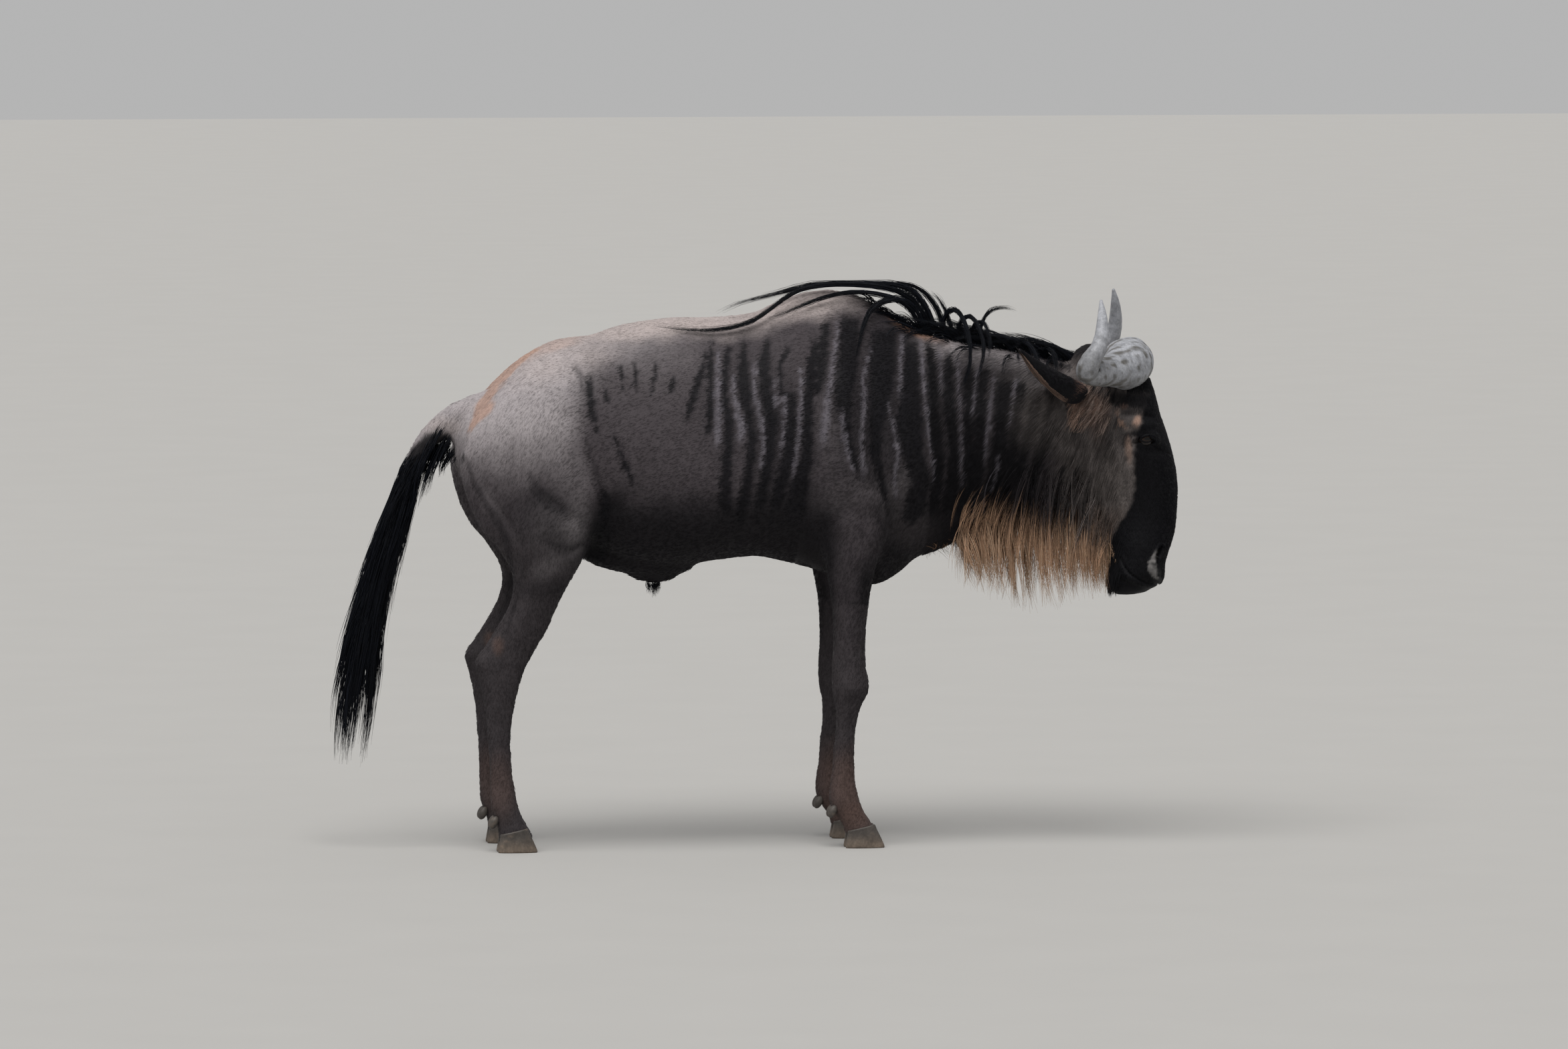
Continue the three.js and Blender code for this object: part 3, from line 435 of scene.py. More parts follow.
def trunk_rings():
    """Upright sections: half width times a power of the cosine, and height times a power of the sine."""
    rows = row_at(TRUNK, np.linspace(TRUNK[0][0], TRUNK[-1][0], 110))
    x, top, wide, bottom, half, up_power, low_power = [c[:, None] for c in rows.T]
    angle = np.linspace(0, 2 * np.pi, 64, endpoint=False)[None, :]
    up = np.sin(angle) >= 0
    power = np.where(up, up_power, low_power)
    y = half * raised(np.cos(angle), power)
    z = wide + np.where(up, top - wide, wide - bottom) * raised(np.sin(angle), power)
    return np.stack([x + 0 * y, y, z], -1)


def level_rings(rows, side=0, sides=40):
    """Level sections of a head or a leg: z, back, front, with the rest of the row as its table says."""
    z, back, front = [c[:, None] for c in rows.T[:3]]
    away, half, power = [c[:, None] for c in rows.T[3:6]] if side else (0, rows[:, 3:4], None)
    angle = np.linspace(0, 2 * np.pi, sides, endpoint=False)[None, :]
    if power is None:
        power = np.where(np.cos(angle) >= 0, rows[:, 5:6], rows[:, 4:5])
    x = (back + front) / 2 + (front - back) / 2 * raised(np.cos(angle), power)
    y = side * away + half * raised(np.sin(angle), power)
    return np.stack([x, y, z + 0 * x], -1)


def carried(rows, sides, level):
    """A body carried along a curve: across it lies in the plane with level, by the fifth column, and upright by the
    fourth."""
    centre = rows[:, :3]
    along = unit(np.gradient(centre, axis=0))
    across = unit(level - along * (along @ level)[:, None])
    upright = np.cross(along, across)
    angle = np.linspace(0, 2 * np.pi, sides, endpoint=False)[None, :, None]
    return (
        centre[:, None]
        + across[:, None] * rows[:, None, 4:5] * np.cos(angle)
        + upright[:, None] * rows[:, None, 3:4] * np.sin(angle)
    )


# Rounded flesh of each side, and of the middle: x, distance from the middle plane, z, half length, half width, half
# height, tilt. On the sides they are shoulder, upper arm, eye socket and nostril; in the middle sheath, its root and
# chin.
SIDE_FLESH = [
    [222, 100, 985, 118, 92, 238, -0.3],
    [238, 100, 862, 104, 86, 122, -0.1],
    [975, 68, 1001, 40, 23, 30, 0.15],
    [986, 55, 690, 20, 12, 38, -0.28],
]
MIDDLE_FLESH = [
    [-254, 0, 686, 78, 30, 39, 0.1],
    [-290, 0, 712, 150, 74, 46, 0.12],
    [950, 0, 634, 32, 36, 18, 0.3],
]


def flesh_bodies():
    """The straight animal's bodies, which overlap and are joined into one surface."""
    bodies = [tube(trunk_rings())]
    for side in (RIGHT, LEFT):
        for table in (HIND_LEG, FORE_LEG):
            rows = row_at(table, np.linspace(table[0][0], table[-1][0], 120))
            bodies.append(tube(level_rings(rows, side)))
        bodies += [egg([x, side * away, z], radii, tilt) for x, away, z, *radii, tilt in SIDE_FLESH]
    bodies += [egg([x, y, z], radii, tilt) for x, y, z, *radii, tilt in MIDDLE_FLESH]
    bodies.append(tube(level_rings(row_at(HEAD, np.linspace(HEAD[0][0], HEAD[-1][0], 90)), sides=56)))
    bodies.append(tube(carried(curve_points(DOCK, 60), 24, np.array([0.0, 1, 0]))))
    return joined(bodies)


# Soft forms under the coat, the same on both sides: x, z, half length, half height, tilt in degrees, rise in
# millimetres. A rise below nothing is a hollow.
FORMS = [
    [-395, 1215, 60, 34, -30, 7],
    [-560, 1160, 110, 40, -35, 4],
    [-330, 1130, 60, 70, 10, -8],
    [-300, 880, 20, 110, -12, -7],
    [-420, 980, 60, 150, 0, 5],
    [-610, 930, 24, 160, -8, -5],
    [-690, 960, 30, 110, 5, 4],
    [-520, 800, 70, 60, 20, 5],
    [-640, 790, 26, 80, -20, -5],
    [150, 1120, 16, 150, 12, -6],
    [215, 1130, 30, 150, 14, 6],
    [275, 1090, 14, 130, 12, -5],
    [330, 960, 60, 60, 30, 6],
    [255, 880, 80, 60, 0, 5],
    [130, 830, 22, 80, 10, -8],
    [180, 800, 40, 30, 0, 5],
    [360, 840, 24, 90, 10, -6],
    [430, 1000, 26, 190, 12, -4],
    [560, 1060, 150, 36, -8, 4],
    [690, 960, 22, 120, 8, -5],
    [0, 1290, 160, 20, -4, 3],
    [-150, 800, 120, 60, 0, 4],
    [-100, 950, 240, 70, 0, 3],
    [-480, 1060, 26, 90, -20, -3],
    [250, 700, 20, 60, 5, 4],
    [215, 640, 14, 80, 3, -3],
    [-590, 640, 14, 70, -15, -4],
    [-560, 700, 30, 60, 15, 4],
    [-640, 450, 12, 40, 0, -3],
    [-625, 360, 8, 90, 0, -3],
    [222, 300, 7, 100, 0, -3],
    [224, 392, 30, 22, 0, 4],
    [-690, 470, 16, 24, 0, 4],
    [-362, 830, 14, 64, -14, -7],
    [-430, 900, 48, 60, 0, 6],
    [-640, 825, 80, 9, -58, -6],
    [-505, 850, 50, 16, -40, -5],
    [-450, 745, 40, 9, 22, -4],
    [312, 810, 8, 50, 14, -4],
]

# Forms of the head in a side view of the straight head: x, z, half length, half height, tilt, rise.
FACE_FORMS = [
    [905, 960, 60, 16, -62, 6],
    [880, 900, 40, 50, 0, 5],
    [932, 952, 9, 16, 0, -5],
    [850, 1010, 26, 60, 0, 5],
    [968, 1037, 46, 11, -10, 7],
    [963, 1060, 60, 9, -8, -5],
    [900, 1035, 22, 30, 0, -6],
    [1003, 972, 30, 12, -20, -5],
    [960, 880, 30, 90, 0, -4],
    [1010, 900, 22, 140, 0, 4],
    [955, 740, 50, 40, 0, 4],
    [992, 688, 11, 28, -14, 5],
    [905, 700, 20, 40, 0, -4],
    [945, 655, 30, 8, -25, 4],
    [940, 640, 26, 6, -25, -3],
    [860, 820, 16, 90, -8, -6],
    [948, 982, 16, 7, -30, -4],
    [991, 983, 16, 5, -25, -3],
]


def relief(table, x, z):
    """How far soft forms raise the surface at x and z: a bell curve for each row, stretched and tilted."""
    total = np.zeros_like(x)
    for cx, cz, length, height, tilt, rise in table:
        sin, cos = np.sin(np.radians(tilt)), np.cos(np.radians(tilt))
        u, v = (x - cx) * cos + (z - cz) * sin, (z - cz) * cos - (x - cx) * sin
        total += rise * np.exp(-((u / length) ** 2) - (v / height) ** 2)
    return total


def line_distance(line, x, z):
    """The distance from x, z to a bent line of points, and how far along it the nearest place is, from 0 to 1."""
    line = np.asarray(line, float)
    best, share = np.full(x.shape, 1e9), np.zeros(x.shape)
    pieces = len(line) - 1
    for i in range(pieces):
        a, d = line[i, :2], line[i + 1, :2] - line[i, :2]
        t = np.clip(((x - a[0]) * d[0] + (z - a[1]) * d[1]) / (d @ d), 0, 1)
        away = np.hypot(x - a[0] - t * d[0], z - a[1] - t * d[1])
        near = away < best
        best, share = np.where(near, away, best), np.where(near, (i + t) / pieces, share)
    return best, share


# Lines in a side view of the straight head, x and z: the mouth, the nostril's slit, the wing of pale skin before it
# with its half width, and the opening between the lids.
MOUTH = [[1012, 636], [985, 642], [962, 652], [938, 668], [918, 690], [906, 714]]
NOSTRIL = [[1015, 735], [1009, 720], [1005, 708], [1006, 694], [1008, 678], [1006, 662]]
NOSTRIL_WING = [[1003, 726, 3], [997, 711, 5], [991, 696, 9], [992, 681, 11], [999, 666, 8], [1006, 652, 3]]
EYE_OPENING = [[951, 994], [965, 1000], [979, 1002], [995, 993]]


def nostril_swell(share):
    """How the nostril's slit widens: most near its upper end, by how far along it a place is."""
    return bell(share - 0.22, 0.22)


def coat_depth(p):
    """How far the skin lies inside the solids, by the length of the coat over it."""
    head = smooth(760, 800, p[:, 0])
    leg = smooth(720, 640, p[:, 2])
    return 5.0 - 1.5 * head - 2.5 * leg


def shaped_skin(p, normals):
    """Skin places moved along their normals: in by the coat's depth, out and in by the soft forms, and cut in at the
    eyes, nostrils and mouth."""
    x, y, z = p.T
    head = smooth(770, 800, x) * (z > UNDER_HEAD)
    side = smooth(20, 70, np.abs(y))
    move = -coat_depth(p)
    move = move + (1 - head) * np.where(z < 720, 1, side) * relief(FORMS, x, z)
    outward = np.abs(normals[:, 1])
    move = move + head * smooth(0.15, 0.7, outward) * relief(FACE_FORMS, x, z)
    away, _ = line_distance(MOUTH, x, z)
    move = move - head * (4 * bell(away, 2.6) - 1.0 * bell(away - 8, 5)) * (z < 730)
    away, share = line_distance(NOSTRIL, x, z)
    width = 1.6 + 3.6 * nostril_swell(share)
    facing = smooth(0.3, 0.6, outward)
    move = move - 13 * facing * smooth(width + 2.5, width - 2.5, away) * (x > 900)
    move = move + 2.0 * facing * bell(away - width - 4, 3.5) * (x > 900)
    away, _ = line_distance(EYE_OPENING, x, z)
    move = move - 11 * smooth(8.5, 5, away) * facing
    move = move + 0.5 * ripple(p, 60, 11) + 0.25 * ripple(p, 18, 12)
    folds = bell(x - 800, 40) * bell(z - 1000, 120)
    return p + normals * (move + 1.2 * folds * np.sin(z / 9 + x / 30))[:, None]


def read_points(mesh):
    """A mesh's points and normals as arrays."""
    points, normals = np.empty(len(mesh.vertices) * 3), np.empty(len(mesh.vertices) * 3)
    mesh.vertices.foreach_get("co", points)
    mesh.vertices.foreach_get("normal", normals)
    return points.reshape(-1, 3), normals.reshape(-1, 3)


def write_points(mesh, points):
    """Moves a mesh's points to these places."""
    mesh.vertices.foreach_set("co", points.astype(np.float32).ravel())
    mesh.update()


def eased(mesh, rounds, share=0.5):
    """Moves every point towards the mean of its neighbours, with no change to the faces."""
    edges = np.empty(len(mesh.edges) * 2, np.int32)
    mesh.edges.foreach_get("vertices", edges)
    a, b = edges.reshape(-1, 2).T
    points = read_points(mesh)[0]
    count = np.bincount(np.concatenate([a, b]), minlength=len(points))[:, None]
    for k in range(rounds):
        total = np.zeros_like(points)
        for c in range(3):
            total[:, c] = np.bincount(a, points[b, c], len(points)) + np.bincount(b, points[a, c], len(points))
        # every other step goes back a little further, which keeps the body's volume
        step = share if k % 2 == 0 else -share * 1.04
        points = points + step * (total / np.maximum(count, 1) - points)
    write_points(mesh, points)


def finer(mesh, wanted):
    """Halves the edges whose two ends are both wanted."""
    points = read_points(mesh)[0] / MM
    mask = wanted(points)
    bm = bmesh.new()
    bm.from_mesh(mesh)
    bm.verts.ensure_lookup_table()
    edges = [e for e in bm.edges if mask[e.verts[0].index] and mask[e.verts[1].index]]
    bmesh.ops.subdivide_edges(bm, edges=edges, cuts=1, use_grid_fill=True)
    bmesh.ops.triangulate(bm, faces=[f for f in bm.faces if len(f.verts) > 4])
    bm.to_mesh(mesh)
    bm.free()
    mesh.update()


def head_part(p):
    """The places of the head that get finer faces, all but its middle line."""
    return (p[:, 0] > 815) & (p[:, 2] < 1130) & (np.abs(p[:, 1]) > 0)


def face_details(p):
    """The places round eyes, nostrils and mouth, which get the finest faces."""
    x, y, z = p.T
    eye = np.hypot(x - EYE[0], (z - EYE[2]) * 1.3) < 42
    nose = (x > 965) & (z > 632) & (z < 750)
    mouth = line_distance(MOUTH, x, z)[0] < 14
    return (eye | nose | mouth) & (np.abs(y) > 18) & (x > 880)


# Stripes in the side view: points of along, up and half width. Dark stripes first, then the pale ones between.
DARK_STRIPES = [
    [[-190, 1150, 6], [-194, 1135, 8], [-200, 1112, 5]],
    [[-112, 1220, 5], [-122, 1175, 8], [-140, 1120, 10], [-156, 1062, 8], [-160, 1040, 3]],
    [[-100, 1245, 4], [-104, 1190, 8], [-102, 1120, 8], [-104, 1050, 10], [-112, 1005, 5]],
    [[-60, 1240, 5], [-66, 1170, 9], [-70, 1100, 9], [-58, 1040, 12], [-62, 950, 13], [-68, 860, 16], [-60, 800, 14]],
    [[-22, 1250, 6], [-24, 1180, 13], [-20, 1110, 17], [-8, 1040, 9], [0, 990, 11], [-12, 900, 13], [-28, 820, 16],
     [-34, 780, 8]],
    [[38, 1255, 6], [28, 1190, 14], [30, 1120, 16], [46, 1050, 15], [40, 960, 14], [26, 880, 13], [12, 810, 15]],
    [[95, 1230, 5], [66, 1180, 6], [70, 1110, 4], [98, 1100, 9], [92, 1030, 14], [88, 950, 15], [66, 880, 16],
     [50, 800, 12]],
    [[152, 1250, 9], [146, 1180, 14], [136, 1110, 13], [134, 1030, 14], [132, 950, 15], [112, 870, 24],
     [100, 800, 26]],
    [[182, 1290, 8], [172, 1220, 15], [164, 1150, 13], [156, 1100, 6]],
    [[240, 1310, 24], [236, 1230, 26], [230, 1160, 26], [222, 1100, 22], [232, 1010, 10], [244, 950, 9],
     [262, 900, 4]],
    [[322, 1280, 30], [318, 1200, 34], [314, 1120, 30], [304, 1040, 18], [298, 960, 12], [318, 880, 9], [332, 820, 6]],
    [[386, 1250, 16], [390, 1180, 20], [388, 1110, 24], [384, 1040, 34], [392, 960, 26], [412, 890, 26],
     [396, 820, 26], [372, 780, 10]],
    [[436, 1240, 10], [440, 1170, 15], [442, 1100, 17], [448, 1020, 19], [458, 950, 16], [452, 870, 16],
     [440, 800, 18]],
    [[484, 1215, 7], [486, 1170, 12], [484, 1100, 14], [492, 1020, 14], [498, 950, 14], [492, 870, 18],
     [476, 800, 20]],
    [[534, 1180, 9], [534, 1110, 14], [534, 1020, 14], [536, 950, 15], [530, 870, 22], [520, 800, 24]],
    [[576, 1180, 13], [566, 1130, 12], [562, 1060, 14], [560, 980, 15], [556, 900, 15], [540, 830, 16]],
    [[622, 1150, 20], [620, 1090, 22], [612, 1010, 18], [606, 940, 24], [596, 860, 26], [600, 800, 18]],
    [[664, 1145, 14], [658, 1080, 12], [646, 1010, 13], [636, 930, 13], [618, 850, 14]],
    [[700, 1100, 10], [690, 1040, 13], [668, 960, 14], [650, 880, 12]],
    [[736, 1085, 8], [724, 1010, 11], [700, 930, 12], [680, 860, 10]],
    [[-400, 1160, 4], [-398, 1120, 9], [-392, 1075, 10], [-386, 1040, 6], [-376, 1012, 3]],
    [[-364, 1128, 3], [-357, 1105, 6], [-350, 1082, 3]],
    [[-326, 1182, 2], [-319, 1150, 5], [-318, 1118, 2]],
    [[-290, 1190, 2], [-284, 1150, 5], [-286, 1110, 2]],
    [[-236, 1195, 2], [-240, 1150, 5], [-248, 1100, 2]],
    [[-340, 1012, 3], [-324, 975, 6], [-306, 930, 7], [-290, 880, 3]],
    [[-366, 888, 2], [-356, 850, 12], [-362, 800, 18], [-376, 740, 25], [-398, 680, 28], [-420, 640, 20]],
    [[-704, 975, 2], [-706, 960, 5], [-710, 945, 2]],
]
PALE_STRIPES = [
    [[-84, 1220, 3], [-86, 1120, 6], [-84, 1050, 7], [-86, 980, 6]],
    [[-46, 1170, 3], [-48, 1110, 4], [-28, 1030, 9], [-30, 990, 7]],
    [[4, 1190, 4], [4, 1110, 4], [22, 1040, 5], [26, 980, 4], [18, 920, 3]],
    [[56, 1150, 3], [56, 1080, 3], [78, 1100, 4], [76, 1020, 3], [66, 950, 2]],
    [[118, 1180, 4], [118, 1100, 4], [112, 1000, 4], [98, 900, 3]],
    [[208, 1290, 3], [200, 1210, 4], [190, 1140, 6], [180, 1060, 9], [170, 980, 9]],
    [[290, 1220, 3], [270, 1150, 3], [272, 1080, 6], [264, 1000, 4], [272, 900, 6]],
    [[216, 1070, 4], [222, 1020, 5], [234, 950, 4], [248, 915, 4]],
    [[330, 1090, 2], [346, 1020, 3], [356, 960, 4], [346, 900, 4], [352, 850, 3]],
    [[366, 1260, 3], [362, 1180, 4], [360, 1100, 3]],
    [[414, 1250, 3], [416, 1170, 4], [424, 1080, 3], [432, 1000, 3], [444, 930, 3], [446, 890, 2]],
    [[462, 1230, 3], [464, 1160, 3], [464, 1110, 2]],
    [[506, 1200, 4], [510, 1110, 3], [514, 1030, 2], [514, 930, 3], [520, 880, 3]],
    [[556, 1180, 3], [548, 1110, 3], [540, 1040, 2]],
    [[598, 1160, 3], [588, 1090, 4], [578, 1010, 4], [574, 940, 3]],
    [[650, 1150, 4], [642, 1090, 3], [632, 1020, 2]],
    [[606, 960, 3], [600, 900, 3], [590, 870, 2]],
]

# Patches in the side view: along, up, half length, half height, tilt, colour, strength. Besides real markings,
# the dark rows along the lower body and in the folds of flank and thigh are painted shade, the pale rows along the
# back are painted highlights over pale hair, and the pale rows on stifle and thigh are painted highlights.
PATCHES = [
    [-470, 1240, 120, 16, 22, "rump_tan", 0.35],
    # pale hair on the dock and the croup, partly a painted highlight along the back
    [-760, 1040, 50, 24, 0, "topline_and_highlight", 0.5],
    [-480, 1190, 150, 50, 15, "topline_and_highlight", 0.5],
    [-560, 1090, 110, 70, 0, "silver_and_highlight", 0.3],
    [-440, 1150, 40, 60, 0, "silver_and_highlight", 0.35],
    # painted highlights along the back, over pale hair
    [-120, 1290, 270, 24, 2, "topline_and_highlight", 0.6],
    [-300, 1270, 160, 26, 6, "topline_and_highlight", 0.6],
    [110, 1340, 130, 26, 6, "topline_and_highlight", 0.7],
    [430, 1262, 80, 14, -16, "rust", 0.7],
    [560, 1215, 90, 16, -10, "silver_and_highlight", 0.5],
    [680, 1180, 60, 18, -14, "silver_and_highlight", 0.5],
    # painted shade along the lower body and low on the thigh, over dark belly hair
    [-30, 760, 420, 90, 0, "belly_and_shade", 0.9],
    [-300, 740, 200, 80, -12, "belly_and_shade", 0.8],
    [180, 720, 160, 60, 0, "belly_and_shade", 0.9],
    [360, 760, 90, 90, 20, "belly_and_shade", 0.85],
    [-520, 830, 90, 60, 10, "belly_and_shade", 0.45],
    [280, 850, 110, 50, 0, "silver_and_highlight", 0.1],
    [190, 1020, 36, 110, 10, "silver_and_highlight", 0.08],
    [376, 900, 26, 44, 0, "silver_and_highlight", 0.14],
    [-622, 500, 14, 22, 0, "rust", 0.5],
    [-620, 150, 40, 80, 0, "rust", 0.35],
    [240, 140, 60, 90, 0, "rust", 0.55],
    [250, 60, 60, 40, 0, "rust", 0.5],
    # painted shade behind the elbow and under the belly
    [235, 650, 60, 110, 0, "belly_and_shade", 0.45],
    [-130, 640, 500, 30, 0, "belly_and_shade", 0.6],
    [72, 985, 76, 150, 4, "stripe", 0.55],
    [60, 850, 80, 60, 0, "stripe", 0.25],
    [200, 1120, 60, 80, 6, "stripe", 0.3],
    [335, 1105, 115, 190, 6, "stripe", 0.55],
    [300, 960, 100, 110, 0, "stripe", 0.25],
    [-20, 1080, 120, 140, 0, "stripe", 0.28],
    [-335, 1112, 95, 70, 0, "body", 0.6],
    # painted shade in the flank fold, across the lower thigh and under the stifle, then painted highlights on the
    # stifle and the thigh's bumps
    [-346, 805, 36, 74, -16, "belly_and_shade", 0.95],
    [-500, 848, 62, 24, -38, "belly_and_shade", 0.42],
    [-440, 738, 40, 11, 24, "belly_and_shade", 0.4],
    [-428, 905, 40, 56, 0, "silver_and_highlight", 0.13],
    [-448, 788, 28, 22, 0, "silver_and_highlight", 0.14],
    [-500, 690, 40, 26, 20, "silver_and_highlight", 0.1],
    [-640, 850, 22, 60, 26, "silver_and_highlight", 0.1],
    [262, 775, 58, 90, 0, "body", 0.85],
    [228, 640, 34, 110, 0, "body", 0.6],
    [236, 500, 22, 80, 0, "body", 0.3],
    # painted highlight on the withers, over pale hair
    [110, 1325, 110, 30, 8, "topline_and_highlight", 0.85],
    [412, 1262, 70, 16, -24, "rump_tan", 0.55],
    [520, 1205, 110, 26, -12, "silver_and_highlight", 0.45],
    [690, 1130, 40, 40, 0, "silver_and_highlight", 0.4],
    [720, 1060, 70, 70, 0, "cheek", 0.7],
    [650, 1110, 60, 60, 0, "cheek", 0.4],
    [400, 800, 70, 70, 0, "leg", 0.9],
    [250, 1000, 90, 120, 0, "stripe", 0.3],
    [-250, 1100, 110, 100, 0, "body", 0.4],
    # painted highlights along the front edge of the thigh
    [-470, 790, 70, 90, 0, "silver_and_highlight", 0.1],
    [-425, 800, 26, 90, -10, "silver_and_highlight", 0.14],
]
# Soft shadows between the muscles, as lines in the same form as the stripes.
SOFT_SHADES = [
    [[-700, 965, 2], [-680, 900, 4], [-650, 845, 7], [-622, 805, 10], [-602, 765, 10], [-590, 700, 7], [-584, 650, 3]],
    [[-548, 930, 4], [-526, 880, 13], [-490, 845, 15], [-452, 822, 8]],
    [[-520, 762, 4], [-480, 742, 8], [-440, 738, 6], [-410, 752, 3]],
    [[-404, 1000, 3], [-388, 940, 6], [-374, 890, 6], [-372, 830, 8], [-392, 765, 8], [-420, 705, 5]],
    [[-440, 1190, 2], [-422, 1160, 6], [-412, 1110, 5]],
    [[330, 900, 2], [318, 850, 6], [304, 812, 5], [312, 780, 3]],
    [[346, 862, 2], [330, 815, 5], [322, 770, 3]],
    [[122, 805, 4], [112, 770, 8], [126, 742, 4]],
    [[190, 700, 2], [196, 600, 5], [200, 480, 3]],
    [[-560, 690, 3], [-580, 600, 5], [-606, 520, 3]],
]
# The tan line down the croup, in the same form.
CROUP_LINE = [
    [-520, 1232, 5], [-548, 1214, 8], [-590, 1180, 12], [-628, 1140, 15], [-652, 1095, 17], [-672, 1055, 15],
    [-690, 1015, 6],
]

# Patches of the face and jaw, in the columns of PATCHES. The first one, above the eye, stays free of the black.
FACE_PATCHES = [
    [941, 1033, 9, 15, -30, "brow_tan", 1.0],
    [921, 962, 9, 32, 4, "brow_tan", 0.6],
    [902, 1000, 14, 40, 10, "black", 0.45],
    [828, 1072, 44, 26, -14, "brow_tan", 0.65],
    [850, 1050, 26, 50, 0, "rust", 0.45],
    # partly painted shadow under the horn's base, over dark hair
    [896, 1090, 44, 22, 0, "black", 0.85],
    [808, 1225, 40, 44, 0, "stripe", 0.95],
    [950, 1084, 52, 28, 0, "black", 0.95],
    [918, 1052, 15, 9, 0, "black", 0.6],
    [928, 1019, 14, 6, 30, "cheek", 0.8],
    [909, 1070, 9, 7, 0, "rust", 0.7],
    [914, 944, 6, 8, 0, "black", 0.85],
    # painted shade under the brow and round the eye, over the black face
    [944, 1004, 30, 8, 8, "black", 0.9],
    [972, 992, 24, 14, 0, "black", 0.9],
    [955, 621, 16, 8, 10, "brow_tan", 0.5],
    [700, 1040, 60, 70, 0, "cheek", 0.4],
    [870, 1000, 26, 60, 0, "cheek", 0.35],
    [890, 880, 60, 90, 0, "cheek", 0.9],
    [800, 1000, 50, 50, 0, "cheek", 0.4],
    [780, 800, 110, 40, 0, "beard_tan", 0.55],
    [850, 720, 60, 50, 0, "beard_tan", 0.75],
    [690, 790, 70, 30, 0, "beard_tan", 0.7],
]
# The tan line behind the brow, in the form of the stripes, and the edge of the black face from below: up, along.
BROW_LINE = [[890, 1066, 2], [898, 1040, 4], [907, 1026, 4], [918, 1016, 3]]
FACE_EDGE = [
    [600, 866], [680, 870], [732, 876], [763, 884], [789, 903], [815, 920], [841, 932], [883, 938], [930, 934],
    [961, 935], [1008, 941], [1030, 953], [1052, 955], [1070, 962], [1100, 972], [1130, 985],
]


def along_line(line, u, v, wobble):
    """How much a place lies in a stripe: 1 inside the half width that the line gives there, fading over its edge."""
    line = np.asarray(line, float)
    low, high = line[:, :2].min(0) - 50, line[:, :2].max(0) + 50
    out = np.zeros(u.shape)
    near = (u > low[0]) & (u < high[0]) & (v > low[1]) & (v < high[1])
    away, share = line_distance(line, u[near], v[near])
    half = np.interp(share, np.linspace(0, 1, len(line)), line[:, 2])
    end = smooth(0, 0.06, share) * smooth(1, 0.92, share)
    edge = 2.6 + 0.2 * half
    out[near] = smooth(half + edge, half - edge, away + wobble[near]) * (0.25 + 0.75 * end)
    return out


def painted(colour, other, amount):
    """A colour mixed towards another by an amount for each point, or for each point of each strand."""
    return colour + (np.array(other) - colour) * np.clip(amount, 0, 1)[..., None]


def patch(u, v, row):
    """How much a place lies in the soft ellipse of a row of PATCHES."""
    cx, cz, length, height, tilt, _, strength = row
    sin, cos = np.sin(np.radians(tilt)), np.cos(np.radians(tilt))
    a, b = (u - cx) * cos + (v - cz) * sin, (v - cz) * cos - (u - cx) * sin
    return strength * smooth(1.5, 0.35, np.hypot(a / length, b / height))


